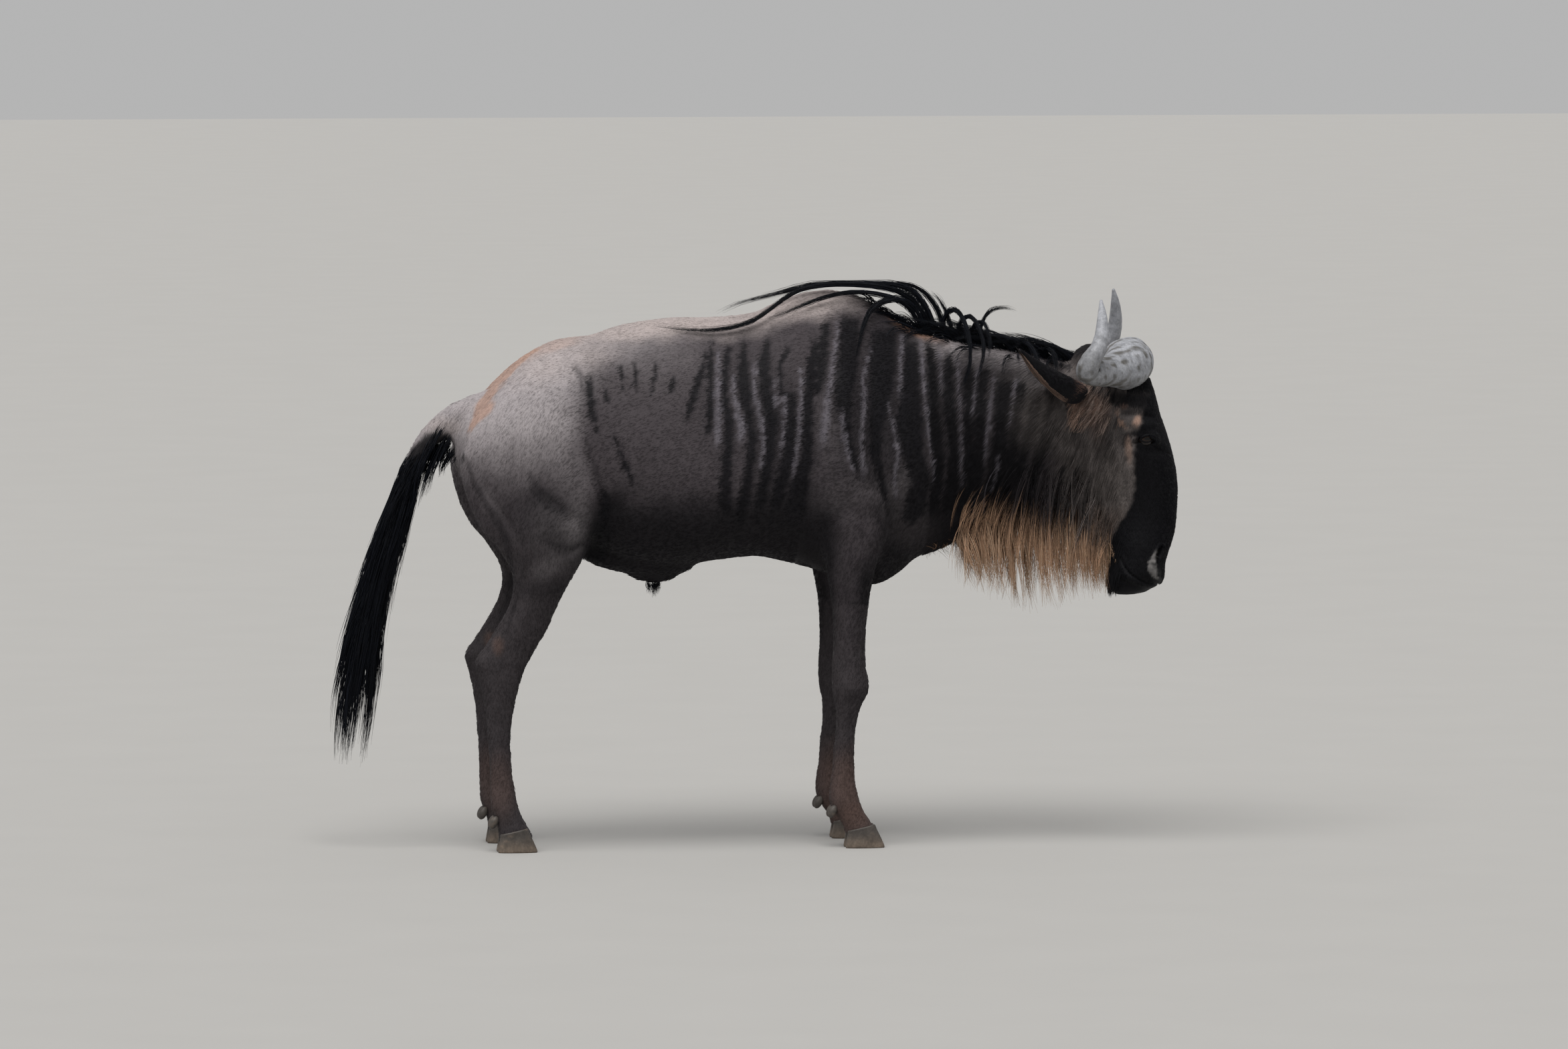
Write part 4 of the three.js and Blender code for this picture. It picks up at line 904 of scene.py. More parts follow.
def markings(p):
    """The coat's colour at straight places of the animal: a ground that darkens downwards, partly as painted shade,
    a painted highlight along the back, patches, some of them painted shade and highlights, stripes on neck,
    shoulder and side, and the face."""
    coat = bpy.context.scene.wildebeest_coat
    colour = np.tile(np.array(coat.body), (len(p), 1))

    def paint(name, amount):
        nonlocal colour
        colour = painted(colour, getattr(coat, name), amount)

    x, y, z = p.T
    u, v = seen_from_right(p)
    wave = ripple(p, 90, 5)
    # the left side's marks are a little off the right side's
    u = np.where(y > 0, u + 5 * ripple(p, 120, 6), u)
    high = v + 14 * wave
    # pale silvery hair on the rump and the upper side, partly a painted highlight where they face the light
    paint("silver_and_highlight", 0.9 * smooth(-385, -490, u) * smooth(850, 1075, high))
    paint("silver_and_highlight", 0.58 * smooth(-20, -440, u) * smooth(1060, 1255, high))
    # painted highlight along the back where the light falls, over pale hair
    paint("topline_and_highlight", 0.85 * smooth(80, -60, u) * smooth(1225, 1290, high))
    paint("topline_and_highlight", 0.75 * smooth(330, 180, u) * smooth(1270, 1345, high))
    paint("leg", smooth(850, 700, z + 12 * wave))
    # darker towards the belly: dark belly hair, partly painted shade of the lower body
    paint("belly_and_shade", 0.85 * smooth(930, 760, z + 20 * wave) * smooth(-420, -330, x) * (z > 600))
    # painted shade on the inner sides of the legs, between them
    inner_shade = smooth(95, 60, np.abs(y)) * smooth(840, 780, z)
    paint("belly_and_shade", 0.5 * inner_shade)
    for row in PATCHES:
        paint(row[5], patch(u, v + 6 * wave, row))
    paint("rump_tan", 0.56 * along_line(CROUP_LINE, u, v, 9 * wave))
    for line in SOFT_SHADES:
        paint("belly_and_shade", 0.5 * along_line(line, u, v, 4 * wave))
    # the tail is black below a slanting edge
    edge = np.interp(x, [-862, -844, -811, -770], [930, 982, 1026, 1026])
    paint("black", 0.9 * smooth(-748, -760, x) * smooth(edge + 9, edge - 9, z + 6 * wave))
    neck_dark = smooth(395, 470, u) * smooth(1235, 1170, v + 14 * wave) * smooth(770, 690, u)
    paint("stripe", 0.35 * neck_dark)
    wobble = 4.2 * ripple(p, 24, 8) + 2.6 * ripple(p, 8, 9)
    for line in DARK_STRIPES:
        paint("stripe", 0.93 * along_line(line, u, v, wobble) * (x > -760))
    for line in PALE_STRIPES:
        paint("pale_stripe", 0.72 * along_line(line, u, v, 0.7 * wobble))
    head = smooth(730, 800, x) * (z > UNDER_HEAD)
    paint("cheek", 0.75 * head)
    grain = ripple(p * [1.0, 1.0, 0.2], 18, 21) + 0.5 * ripple(p * [1.0, 1.0, 0.3], 34, 25)
    streak = 0.8 * smooth(0.1, 0.6, grain) * smooth(690, 760, x) * smooth(950, 900, u)
    paint("stripe", streak * smooth(560, 640, z))
    for row in FACE_PATCHES:
        paint(row[5], patch(u, v + 3 * wave, row) * (x > 620))
    paint("brow_tan", 0.55 * along_line(BROW_LINE, u, v, wobble) * (x > 840))
    edge = height_in(FACE_EDGE, v)
    mask = smooth(edge - 7, edge + 7, u + 3 * ripple(p, 22, 22)) * (x > 840)
    paint("black", mask * smooth(1.0, 0.4, patch(u, v, FACE_PATCHES[0])))
    paint("black", smooth(1105, 1125, z) * (x > 930))
    return colour * (1 + 0.07 * ripple(p, 34, 23) + 0.05 * ripple(p, 12, 24))[:, None]


def lie(p, normals):
    """The way the coat points at straight places: back along the trunk, down on neck, legs and face, always along
    the surface."""
    x, y, z = p.T
    way = np.stack([-np.ones_like(x), 0 * x, np.full_like(x, -0.35)], -1)

    def towards(direction, amount):
        nonlocal way
        way = way + (np.asarray(direction, float) - way) * amount[:, None]

    towards([-1, 0, -0.05], smooth(1180, 1260, z))
    towards([-0.75, 0, -0.8], smooth(300, 480, x) * smooth(1250, 1180, z))
    towards([-0.5, 0, -0.95], smooth(-420, -560, x) * smooth(1200, 1080, z))
    towards([-0.15, 0, -1], smooth(830, 740, z) * ((x < -390) | ((x > 100) & (x < 360))))
    towards([-0.6, 0, -0.8], smooth(180, 260, x) * smooth(1100, 980, z) * smooth(380, 300, x))
    towards([-0.35, 0, -1], smooth(700, 800, x))
    towards([-0.12, 0, -1], smooth(900, 960, x))
    towards([-0.3, 0, -1], smooth(-760, -800, x))
    way = way + 0.16 * np.stack([ripple(p, 70, 31), ripple(p, 60, 32), ripple(p, 70, 33)], -1)
    return unit(way - normals * np.sum(way * normals, -1, keepdims=True))


def unwrapped(p):
    """The skin's own unwrap: round the trunk by angle and length, and round each leg, the head and the tail by angle
    and height, each in its own part of the map."""
    x, y, z = p.T
    leg = (z < 780) & ((x < -380) | ((x > 110) & (x < 370)))
    middle = np.where(x < 0, -560 + 0.16 * np.abs(z - 700), 222)
    around = np.where(leg, np.arctan2(np.abs(y) - 120, x - middle), np.arctan2(y, z - 960))
    head = (x > 790) & ~leg
    around = np.where(head, np.arctan2(y, x - 900), around)
    tail = (x < -770) & ~leg
    around = np.where(tail, np.arctan2(y - 15, x + 870 + 0.1 * (z - 880)), around)
    turn = around / (2 * np.pi) + 0.5
    which = (x > 0) * 2 + (y > 0)
    u = 0.02 + 0.70 * (x + 760) / 1560
    v = 0.02 + 0.52 * turn
    u, v = np.where(leg, 0.02 + 0.17 * (which + turn * 0.92), u), np.where(leg, 0.58 + 0.4 * z / 800, v)
    u, v = np.where(head, 0.74 + 0.24 * turn, u), np.where(head, 0.02 + 0.9 * (z - 560) / 800, v)
    u, v = np.where(tail, 0.70 + 0.03 * turn, u), np.where(tail, 0.58 + 0.4 * z / 1100, v)
    return np.clip(np.stack([u, v], -1), 0.002, 0.994)


def colour_layer(mesh, name, colours):
    """A colour for each point, as an attribute."""
    layer = mesh.attributes.new(name, "FLOAT_COLOR", "POINT")
    layer.data.foreach_set("color", np.column_stack([colours, np.ones(len(colours))]).astype(np.float32).ravel())


def map_layer(mesh, places):
    """A UV map named OFBake from a place for each point."""
    corners = np.empty(len(mesh.loops), np.int32)
    mesh.loops.foreach_get("vertex_index", corners)
    layer = mesh.uv_layers.new(name="OFBake")
    layer.uv.foreach_set("vector", places[corners].astype(np.float32).ravel())


# A tuft's corners are two at its root, its ridge and its tip: their places in a small patch of the map, their faces
# and how bright each corner is: darker at the root as painted shade, lighter at the tip as a painted highlight.
PATCH_SIZE = 0.003
PATCH_CORNERS = PATCH_SIZE * np.array([[0, 0], [1, 0], [0.5, 0.5], [0.5, 1]])
TUFT_FACES = np.array([[0, 2, 3], [1, 3, 2], [0, 1, 2], [0, 3, 1]])
TUFT_SHADE = np.array([0.78, 0.78, 1.0, 1.1])[None, :, None]
# A strand's width at its root, a third along and at its tip, and its thickness against its width.
STRAND_TAPER, STRAND_THICK = (0.35, 1.0, 0.12), 0.55


def tufts(name, roots, normals, ways, lengths, widths, lift, colours):
    """Short fur: each tuft is a closed body of four faces, with two corners at its root, a ridge that rises by lift
    above the skin and a tip that lies down again. Roots are straight places in millimetres."""
    count = len(roots)
    across = np.cross(normals, ways)
    size, wide = lengths[:, None], widths[:, None]
    corners = np.stack([
        roots + across * wide / 2 - normals * 0.6,
        roots - across * wide / 2 - normals * 0.6,
        roots + ways * size * 0.45 + normals * size * lift[:, None],
        roots + ways * size + normals * size * lift[:, None] * 0.9,
    ], 1)
    shading = np.stack([
        unit(normals + across * 0.45), unit(normals - across * 0.45), unit(normals - ways * 0.15),
        unit(normals + ways * 0.25),
    ], 1)
    points = placed(corners.reshape(-1, 3))
    ahead = placed((corners + shading).reshape(-1, 3))
    faces = (np.arange(count)[:, None, None] * 4 + TUFT_FACES).reshape(-1, 3)
    piece = mesh_of(name, points, [faces])
    # roots darkened as painted shade, tips lightened as a painted highlight
    colour_layer(piece.data, "Markings", (colours[:, None] * TUFT_SHADE).reshape(-1, 3))
    map_layer(piece.data, (unwrapped(roots)[:, None] + PATCH_CORNERS).reshape(-1, 2))
    piece.data.normals_split_custom_set_from_vertices(unit(ahead - points))
    return piece


def strands(name, paths, widths, colours, roots):
    """Long hair: each strand is a closed three-sided body carried along its path, widest about a third along and
    fine at both ends. Paths are places in the frame in metres, one row for a strand."""
    count, steps = paths.shape[:2]
    along = unit(np.gradient(paths, axis=1))
    side = unit(np.cross(along, np.array([0.13, -1.0, 0.21])))
    other = np.cross(along, side)
    share = np.interp(np.linspace(0, 1, steps), [0, 0.3, 1], STRAND_TAPER)[None, :, None]
    radius = widths[:, None, None] * MM / 2 * share
    rings = np.stack([
        paths + side * radius * np.cos(a) + other * radius * STRAND_THICK * np.sin(a)
        for a in np.radians([90, 210, 330])
    ], 2)
    points = rings.reshape(count, steps * 3, 3)
    r, s = np.meshgrid(np.arange(steps - 1), np.arange(3), indexing="ij")
    a, b = r * 3 + s, r * 3 + (s + 1) % 3
    wall = np.stack([a, b, b + 3, a + 3], -1).reshape(-1, 4)
    caps = np.array([[2, 1, 0], [steps * 3 - 3, steps * 3 - 2, steps * 3 - 1]])
    start = (np.arange(count) * steps * 3)[:, None, None]
    faces = [(start + wall).reshape(-1, 4), (start + caps).reshape(-1, 3)]
    piece = mesh_of(name, points.reshape(-1, 3), faces)
    colour_layer(piece.data, "Markings", np.repeat(colours, 3, axis=1).reshape(-1, 3))
    u, v = np.tile([0, 1, 0.5], steps), np.repeat(np.linspace(0, 1, steps), 3)
    places = unwrapped(roots)[:, None] + PATCH_SIZE * np.stack([u, v], -1)[None]
    map_layer(piece.data, places.reshape(-1, 2))
    return piece


def colour_property(name, description, colour):
    """A colour that a user may change, from sRGB hex text."""
    return bpy.props.FloatVectorProperty(
        name=name, description=description, subtype="COLOR", size=3, min=0, max=1, default=tuple(linear(colour)),
    )


def length_property(name, description, millimetres):
    """A length that a user may change."""
    return bpy.props.FloatProperty(
        name=name, description=description, unit="LENGTH", min=0.0, default=millimetres * MM,
    )


class WildebeestCoat(bpy.types.PropertyGroup):
    """Colours and sizes of skin and short coat."""

    body: colour_property("Body", "Grey-brown ground of the coat", "413c3f")
    # pale hair along the back, also painted as a highlight there
    topline_and_highlight: colour_property("Topline", "Pale hair along the back", "a49a98")
    # silvery hair, also painted as highlights on the rump, the stifle and the thigh
    silver_and_highlight: colour_property("Silver", "Silvery hair on rump, shoulder and neck", "9b9597")
    rump_tan: colour_property("Rump edge", "Orange-tan hair along the croup", "a67f68")
    # dark belly hair, and painted shade on the lower body, the inner sides, the folds and the creases
    belly_and_shade: colour_property("Belly", "Dark hair of the belly and the inner sides", "181619")
    leg: colour_property("Legs", "Dark grey-brown hair of the legs", "363234")
    rust: colour_property("Rust", "Rusty hair at hocks, pasterns and ears", "5c4942")
    stripe: colour_property("Stripes", "Dark upright stripes", "0d0c10")
    pale_stripe: colour_property("Pale stripes", "Silvery lines between the stripes", "67636a")
    black: colour_property("Face", "Black of the face and muzzle", "08080c")
    cheek: colour_property("Cheek", "Grey-brown cheek", "5f5957")
    brow_tan: colour_property("Brow", "Tan patches round the eye", "a5897a")
    beard_tan: colour_property("Jaw", "Orange-tan hair under the jaw", "6e594c")
    muzzle: colour_property("Nostril", "Pale grey skin of the nostril", "8e8b8a")
    hair_length: length_property("Hair length", "Length of the short hair on the trunk", 15)
    hair_width: length_property("Tuft width", "Width of a tuft of short hair on the trunk", 2.3)
    voxel: length_property("Skin detail", "Side of the skin's faces", 8.3)


class WildebeestHair(bpy.types.PropertyGroup):
    """Colours of the long hair."""

    mane: colour_property("Mane", "Blue-black hair of mane and tail", "06080d")
    sheen: colour_property("Mane light", "Lighter strands of mane and tail", "171a22")
    beard_root: colour_property("Beard root", "Beard where it leaves the neck", "5a473b")
    beard: colour_property("Beard", "Orange-tan beard", "bb967a")
    beard_tip: colour_property("Beard tip", "Pale ends of the beard", "d0b59b")
    strand: length_property("Strand width", "Widest part of a strand of long hair", 2.2)


class WildebeestHorn(bpy.types.PropertyGroup):
    """Colours of horns and hooves."""

    boss: colour_property("Horn", "Weathered grey horn", "9a9ca2")
    # also painted as shade on the undersides of the bosses
    dark: colour_property("Horn grain", "Darker grain and dirt of the horn", "5a5855")
    hoof: colour_property("Hoof", "Grey hoof horn", "46413d")
    dust: colour_property("Dust", "Dry dust on hooves", "75675a")


def add_node(tree, kind, values=None, links=None, **settings):
    """A node with its settings, its sockets' values and what is linked into them."""
    node = tree.nodes.new(kind)
    for key, value in settings.items():
        setattr(node, key, value)
    for key, value in (values or {}).items():
        node.inputs[key].default_value = value
    for key, source in (links or {}).items():
        tree.links.new(source, node.inputs[key])
    return node


def shader(name, **values):
    """A new material with its tree, shader and object coordinates."""
    material = bpy.data.materials.new(name)
    material.use_nodes = True
    tree = material.node_tree
    principled = tree.nodes["Principled BSDF"]
    for key, value in values.items():
        principled.inputs[key.replace("_", " ")].default_value = value
    place = add_node(tree, "ShaderNodeTexCoord").outputs["Object"]
    return material, tree, principled, place


def marked(tree):
    """The colour that a piece's own Markings attribute holds."""
    return add_node(tree, "ShaderNodeAttribute", attribute_name="Markings").outputs["Color"]


def varied(tree, place, colour, scale, low, high, stretch=(1, 1, 1)):
    """A colour made lighter and darker by noise of a given scale."""
    moved = add_node(tree, "ShaderNodeMapping", {"Scale": stretch}, {"Vector": place})
    noise = add_node(tree, "ShaderNodeTexNoise", {"Scale": scale, "Detail": 4}, {"Vector": moved.outputs[0]})
    level = add_node(
        tree, "ShaderNodeMapRange", {"From Min": 0.3, "From Max": 0.7, "To Min": low, "To Max": high},
        {"Value": noise.outputs["Fac"]},
    )
    links = {0: colour, "Scale": level.outputs[0]}
    scaled = add_node(tree, "ShaderNodeVectorMath", links=links, operation="SCALE")
    return scaled.outputs[0], noise.outputs["Fac"]


def coat_material(name, roughness, sheen, bump, grain):
    """Hair, which scatters light softly along its length: fairly rough with a low sheen, its colour from the coat's
    markings and varied from tuft to tuft, about as wide as a few hairs."""
    material, tree, principled, place = shader(
        name, Roughness=roughness, Specular_IOR_Level=0.13, Sheen_Weight=sheen, Sheen_Roughness=0.5,
    )
    principled.inputs["Sheen Tint"].default_value = (0.9, 0.88, 0.92, 1)
    colour, _ = varied(tree, place, marked(tree), scale=grain, low=0.86, high=1.14)
    tree.links.new(colour, principled.inputs["Base Color"])
    if bump:
        # short hairs as ridges 2 mm apart, stretched along the height
        long = add_node(tree, "ShaderNodeMapping", {"Scale": (1, 1, 0.3)}, {"Vector": place})
        ridges = add_node(tree, "ShaderNodeTexNoise", {"Scale": 420, "Detail": 3}, {"Vector": long.outputs[0]})
        raised_by = add_node(
            tree, "ShaderNodeBump", {"Strength": bump, "Distance": 0.0015}, {"Height": ridges.outputs["Fac"]},
        )
        tree.links.new(raised_by.outputs[0], principled.inputs["Normal"])
    return material


def horn_material():
    """Weathered keratin: dull grey with darker grain, scratches and dirt in its pits, from the piece's own marks."""
    material, tree, principled, place = shader("weathered horn", Roughness=0.55, Specular_IOR_Level=0.4)
    colour, _ = varied(tree, place, marked(tree), scale=60, low=0.7, high=1.2)
    colour, fine = varied(tree, place, colour, scale=240, low=0.8, high=1.12, stretch=(1, 1, 0.8))
    tree.links.new(colour, principled.inputs["Base Color"])
    rough = add_node(tree, "ShaderNodeBump", {"Strength": 0.4, "Distance": 0.0008}, {"Height": fine})
    tree.links.new(rough.outputs[0], principled.inputs["Normal"])
    return material


def eye_material():
    """A wet dark eye: a brown iris with a level pupil, very smooth under its tears."""
    material, tree, principled, place = shader("wet eye", Roughness=0.08, IOR=1.36)
    colour, _ = varied(tree, place, marked(tree), scale=900, low=0.8, high=1.25)
    tree.links.new(colour, principled.inputs["Base Color"])
    return material


MATERIALS = {
    "hide": lambda: coat_material("hide under short hair", roughness=0.65, sheen=0.02, bump=0.7, grain=260),
    "fur": lambda: coat_material("short hair", roughness=0.6, sheen=0.03, bump=0, grain=330),
    "long": lambda: coat_material("long hair", roughness=0.45, sheen=0.0, bump=0, grain=120),
    "horn": horn_material,
    "eye": eye_material,
}
MATERIALS_MADE = {}


def finish_piece(piece, material, slot, *nodes):
    """Gives a piece its material and its body, and hides the solids that it stands for. Its slot is not used."""
    made = MATERIALS_MADE.get(material) or MATERIALS[material]()
    MATERIALS_MADE[material] = made
    piece.data.materials.append(made)
    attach(piece, "root")
    if nodes:
        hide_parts(*nodes)
    return piece


LEGS = [f"leg_{foot}_{side}" for foot in ("hind", "fore") for side in ("right", "left")]
# The skin's points, normals and triangles on the straight animal, from the skin's operator for the coats.
SKIN = {}


class WILDEBEEST_OT_skin(bpy.types.Operator):
    """One skin over trunk, neck, head, legs and dock"""

    bl_idname = "wildebeest.skin"
    bl_label = "Skin"

    def execute(self, context):
        mesh = self.forms(context)
        eased(mesh, rounds=24)
        finer(mesh, head_part)
        eased(mesh, rounds=6)
        finer(mesh, face_details)
        eased(mesh, rounds=2)
        points, normals = read_points(mesh)
        write_points(mesh, shaped_skin(points / MM, normals) * MM)
        eased(mesh, rounds=2, share=0.3)
        shaped, normals = read_points(mesh)
        shaped = shaped / MM
        mesh.calc_loop_triangles()
        triangles = np.empty(len(mesh.loop_triangles) * 3, np.int32)
        mesh.loop_triangles.foreach_get("vertices", triangles)
        SKIN.update(points=shaped, normals=normals, triangles=triangles.reshape(-1, 3))
        write_points(mesh, placed(shaped))
        mesh.polygons.foreach_set("use_smooth", np.ones(len(mesh.polygons), bool))
        colour_layer(mesh, "Markings", skin_colours(shaped, normals))
        map_layer(mesh, unwrapped(shaped))
        piece = bpy.data.objects.new("skin", mesh)
        context.scene.collection.objects.link(piece)
        finish_piece(piece, "hide", "hide", "torso", "neck", "head", *LEGS)
        return {"FINISHED"}

    def forms(self, context):
        """One closed mesh round all the straight animal's bodies."""
        points, faces = flesh_bodies()
        rough = mesh_of("skin_forms", points * MM, faces)
        modifier = rough.modifiers.new("join", "REMESH")
        modifier.mode, modifier.voxel_size = "VOXEL", context.scene.wildebeest_coat.voxel
        mesh = bpy.data.meshes.new_from_object(rough.evaluated_get(context.evaluated_depsgraph_get()))
        bpy.data.objects.remove(rough)
        if not len(mesh.vertices):
            raise RuntimeError("the skin's forms didn't join")
        return mesh


def skin_colours(p, normals):
    """The markings, with pale nostril skin, dark lids and painted shade round the eyes, and a darker line of the mouth.
    """
    coat = bpy.context.scene.wildebeest_coat
    colour = markings(p)
    x, y, z = p.T
    head = (x > 860) & (z > UNDER_HEAD)
    away, share = line_distance(NOSTRIL, x, z)
    wing = along_line(NOSTRIL_WING, x, z, 2 * ripple(p, 9, 25)) * smooth(0.2, 0.5, np.abs(normals[:, 1]))
    colour = painted(colour, coat.muzzle, head * wing * (0.42 + 0.25 * ripple(p, 14, 26)))
    slit = smooth(3, 1, away - 3.5 * nostril_swell(share))
    colour = painted(colour, coat.black, 0.95 * head * slit)
    away, _ = line_distance(MOUTH, x, z)
    return painted(colour, coat.black, head * smooth(5, 2, away) * (z < 725))


def sample_skin(count, weight, seed):
    """Random places on the skin, evenly by area times weight: straight places with their normals."""
    rng = np.random.default_rng(seed)
    corners = SKIN["points"][SKIN["triangles"]]
    area = np.linalg.norm(np.cross(corners[:, 1] - corners[:, 0], corners[:, 2] - corners[:, 0]), axis=1)
    chance = area * weight(corners.mean(1))
    pick = rng.choice(len(area), count, p=chance / chance.sum())
    a, b = rng.random((2, count))
    over = a + b > 1
    a, b = np.where(over, 1 - a, a), np.where(over, 1 - b, b)
    shares = np.stack([1 - a - b, a, b], -1)[..., None]
    normals = SKIN["normals"][SKIN["triangles"][pick]]
    return (corners[pick] * shares).sum(1), unit((normals * shares).sum(1)), rng


def bare(p):
    """Places with no hair: inside nostrils, lips and eyes, under the horns, the chin and the soles."""
    x, y, z = p.T
    head = (x > 860) & (np.abs(y) > 12)
    nose = head & ((line_distance(NOSTRIL, x, z)[0] < 5) | (line_distance(NOSTRIL_WING, x, z)[0] < 11))
    lips = head & (line_distance(MOUTH, x, z)[0] < 3) & (z < 725)
    eye = head & (line_distance(EYE_OPENING, x, z)[0] < 8.5) & (np.abs(y) > 50)
    crown = (x > 855) & (z > 1150)
    sole = z < 40
    chin = (x > 860) & (z < 640)
    return nose | lips | eye | crown | sole | chin


# Coats of short hair: name, how many tufts, length and width as a share of the settings, lift, and where.
COATS = [
    ("coat_rump", 30000, 0.8, 0.85, 0.09, lambda x, y, z: smooth(-235, -245, x) * smooth(640, 660, z)),
    ("coat_side", 30000, 0.72, 0.85, 0.09, lambda x, y, z: smooth(-245, -235, x) * smooth(165, 155, x) * (z > 600)),
    ("coat_shoulder", 26000, 0.78, 0.85, 0.1, lambda x, y, z: smooth(155, 165, x) * smooth(440, 430, x) * (z > 600)),
    ("coat_neck", 36000, 1.25, 0.8, 0.12, lambda x, y, z: smooth(430, 440, x) * smooth(780, 760, x)),
    ("coat_head", 40000, 0.75, 0.72, 0.12, lambda x, y, z: smooth(760, 780, x) * (1 + 0.8 * smooth(880, 920, x))),
    ("coat_cheek", 9000, 2.1, 0.9, 0.12,
     lambda x, y, z: smooth(700, 770, x) * smooth(925, 880, x) * smooth(1090, 1050, z)),
    ("coat_hind_legs", 19000, 0.7, 0.8, 0.1, lambda x, y, z: (x < 0) * smooth(660, 640, z)),
    ("coat_forelegs", 16000, 0.7, 0.8, 0.1, lambda x, y, z: (x > 0) * (x < 400) * smooth(610, 590, z)),
]


class WILDEBEEST_OT_coat(bpy.types.Operator):
    """Short hair over the skin, in tufts that follow its lie"""

    bl_idname = "wildebeest.coat"
    bl_label = "Short coat"

    def execute(self, context):
        coat = context.scene.wildebeest_coat
        for k, (name, count, long, wide, lift, where) in enumerate(COATS):
            roots, normals, rng = sample_skin(count, lambda p: where(*p.T), 40 + k)
            keep = ~bare(roots)
            roots, normals = roots[keep], normals[keep]
            count = len(roots)
            ways = lie(roots, normals)
            size = coat.hair_length / MM * long * rng.uniform(0.7, 1.25, count)
            small = smooth(900, 960, roots[:, 0]) * (roots[:, 2] < 1120)
            size = size * (1 - 0.3 * small) * (1 - 0.3 * smooth(240, 60, roots[:, 2]))
            widths = coat.hair_width / MM * wide * rng.uniform(0.7, 1.3, count)
            colours = markings(roots) * rng.uniform(0.8, 1.22, (count, 1))
            rise = lift * rng.uniform(0.5, 1.5, count)
            piece = tufts(name, roots, normals, ways, size, widths, rise, colours)
            finish_piece(piece, "fur", "hide")
        return {"FINISHED"}


# Families of mane locks: how many, roots between two values of x, how far to the side and how spread, where they set
# out and end up, how much they stray, and their range of lengths.
MANE = [
    (6, 350, 470, -0.2, 0.9, (-0.75, -0.2, 0.55), (-0.9, -0.3, -0.42), 0.14, (130, 230)),
    (30, 300, 800, 0.0, 0.8, (-0.55, -0.1, 0.8), (-0.93, -0.15, -0.35), 0.16, (80, 150)),
    (52, 490, 810, -0.05, 0.9, (-0.62, -0.06, 0.78), (-0.97, -0.16, -0.25), 0.12, (110, 185)),
    (5, 360, 620, -0.7, 0.7, (-0.65, -0.45, 0.4), (-0.4, -0.45, -0.85), 0.14, (100, 160)),
    (18, 280, 640, 0.7, 0.7, (-0.65, 0.45, 0.4), (-0.5, 0.35, -0.8), 0.14, (120, 200)),
    (10, 780, 836, 0.0, 1.0, (-0.6, 0, 0.75), (-1, 0, -0.1), 0.2, (60, 100)),
    (8, 640, 780, -0.9, 0.5, (-0.2, -0.6, 0.3), (0.1, -0.3, -0.9), 0.14, (70, 110)),
]

# Long blown locks: strands, thickness of the lock, and the points of its line.
BLOWN = [
    (132, 9, [(462, -4, 1240), (436, -6, 1300), (412, -10, 1350), (360, -14, 1378), (250, -18, 1382), (150, -24, 1381),
             (50, -34, 1358), (-50, -40, 1334), (-95, -44, 1311)]),
    (138, 8, [(440, -8, 1250), (420, -14, 1310), (392, -24, 1348), (330, -30, 1371), (240, -34, 1380),
             (150, -44, 1378), (96, -54, 1366), (48, -66, 1335), (0, -80, 1296), (-100, -92, 1272),
             (-180, -84, 1274), (-255, -70, 1284)]),
    (102, 8, [(430, -10, 1255), (400, -20, 1320), (350, -34, 1345), (290, -58, 1325), (262, -88, 1285),
             (248, -108, 1240), (238, -122, 1195)]),
    (90, 7, [(420, -12, 1258), (380, -26, 1325), (320, -40, 1352), (240, -48, 1362), (170, -60, 1350), (110, -74, 1330),
             (60, -84, 1310), (20, -90, 1300)]),
    (102, 6, [(462, -6, 1240), (472, -14, 1295), (492, -26, 1322), (516, -48, 1296), (531, -76, 1245), (530, -100, 1185),
             (516, -112, 1145), (498, -116, 1110)]),
    (90, 6, [(500, -8, 1235), (514, -20, 1290), (540, -36, 1300), (560, -62, 1262), (568, -84, 1230), (562, -100, 1190),
             (546, -112, 1140)]),
    (78, 6, [(530, -8, 1225), (550, -22, 1280), (572, -44, 1282), (584, -70, 1240), (578, -92, 1200)]),
    (72, 7, [(480, 2, 1240), (460, 4, 1310), (420, 6, 1362), (372, 6, 1380), (310, 0, 1374), (255, -10, 1384)]),
    (54, 6, [(500, 0, 1235), (482, 0, 1300), (462, 0, 1340), (440, 0, 1358)]),
    (48, 5, [(560, 0, 1225), (566, 4, 1278), (590, 8, 1312), (628, 8, 1318), (650, 8, 1310)]),
    (72, 7, [(660, -6, 1200), (670, -26, 1234), (692, -60, 1222), (708, -92, 1190), (716, -106, 1158)]),
    (66, 7, [(720, -6, 1190), (730, -30, 1218), (748, -62, 1205), (756, -88, 1176), (752, -98, 1152)]),
]

# Throat hair: name, how many locks, strands in a lock, x from and to, half width, how far the tips trail forward,
# tables of root and tip heights.
THROAT = [
    ("beard", 86, 15, 505, 780, 40, 30, [[440, 752], [560, 806], [650, 844], [770, 905]],
     [[440, 700], [540, 612], [620, 570], [690, 564], [770, 584]]),
    ("throat_fringe", 40, 12, 425, 640, 34, 18, [[420, 742], [560, 806], [650, 844]],
     [[420, 700], [520, 702], [650, 720]]),
    ("jaw_hair", 66, 15, 760, 880, 40, 14, [[760, 925], [820, 880], [850, 820], [880, 752]],
     [[760, 592], [840, 598], [880, 612]]),
]


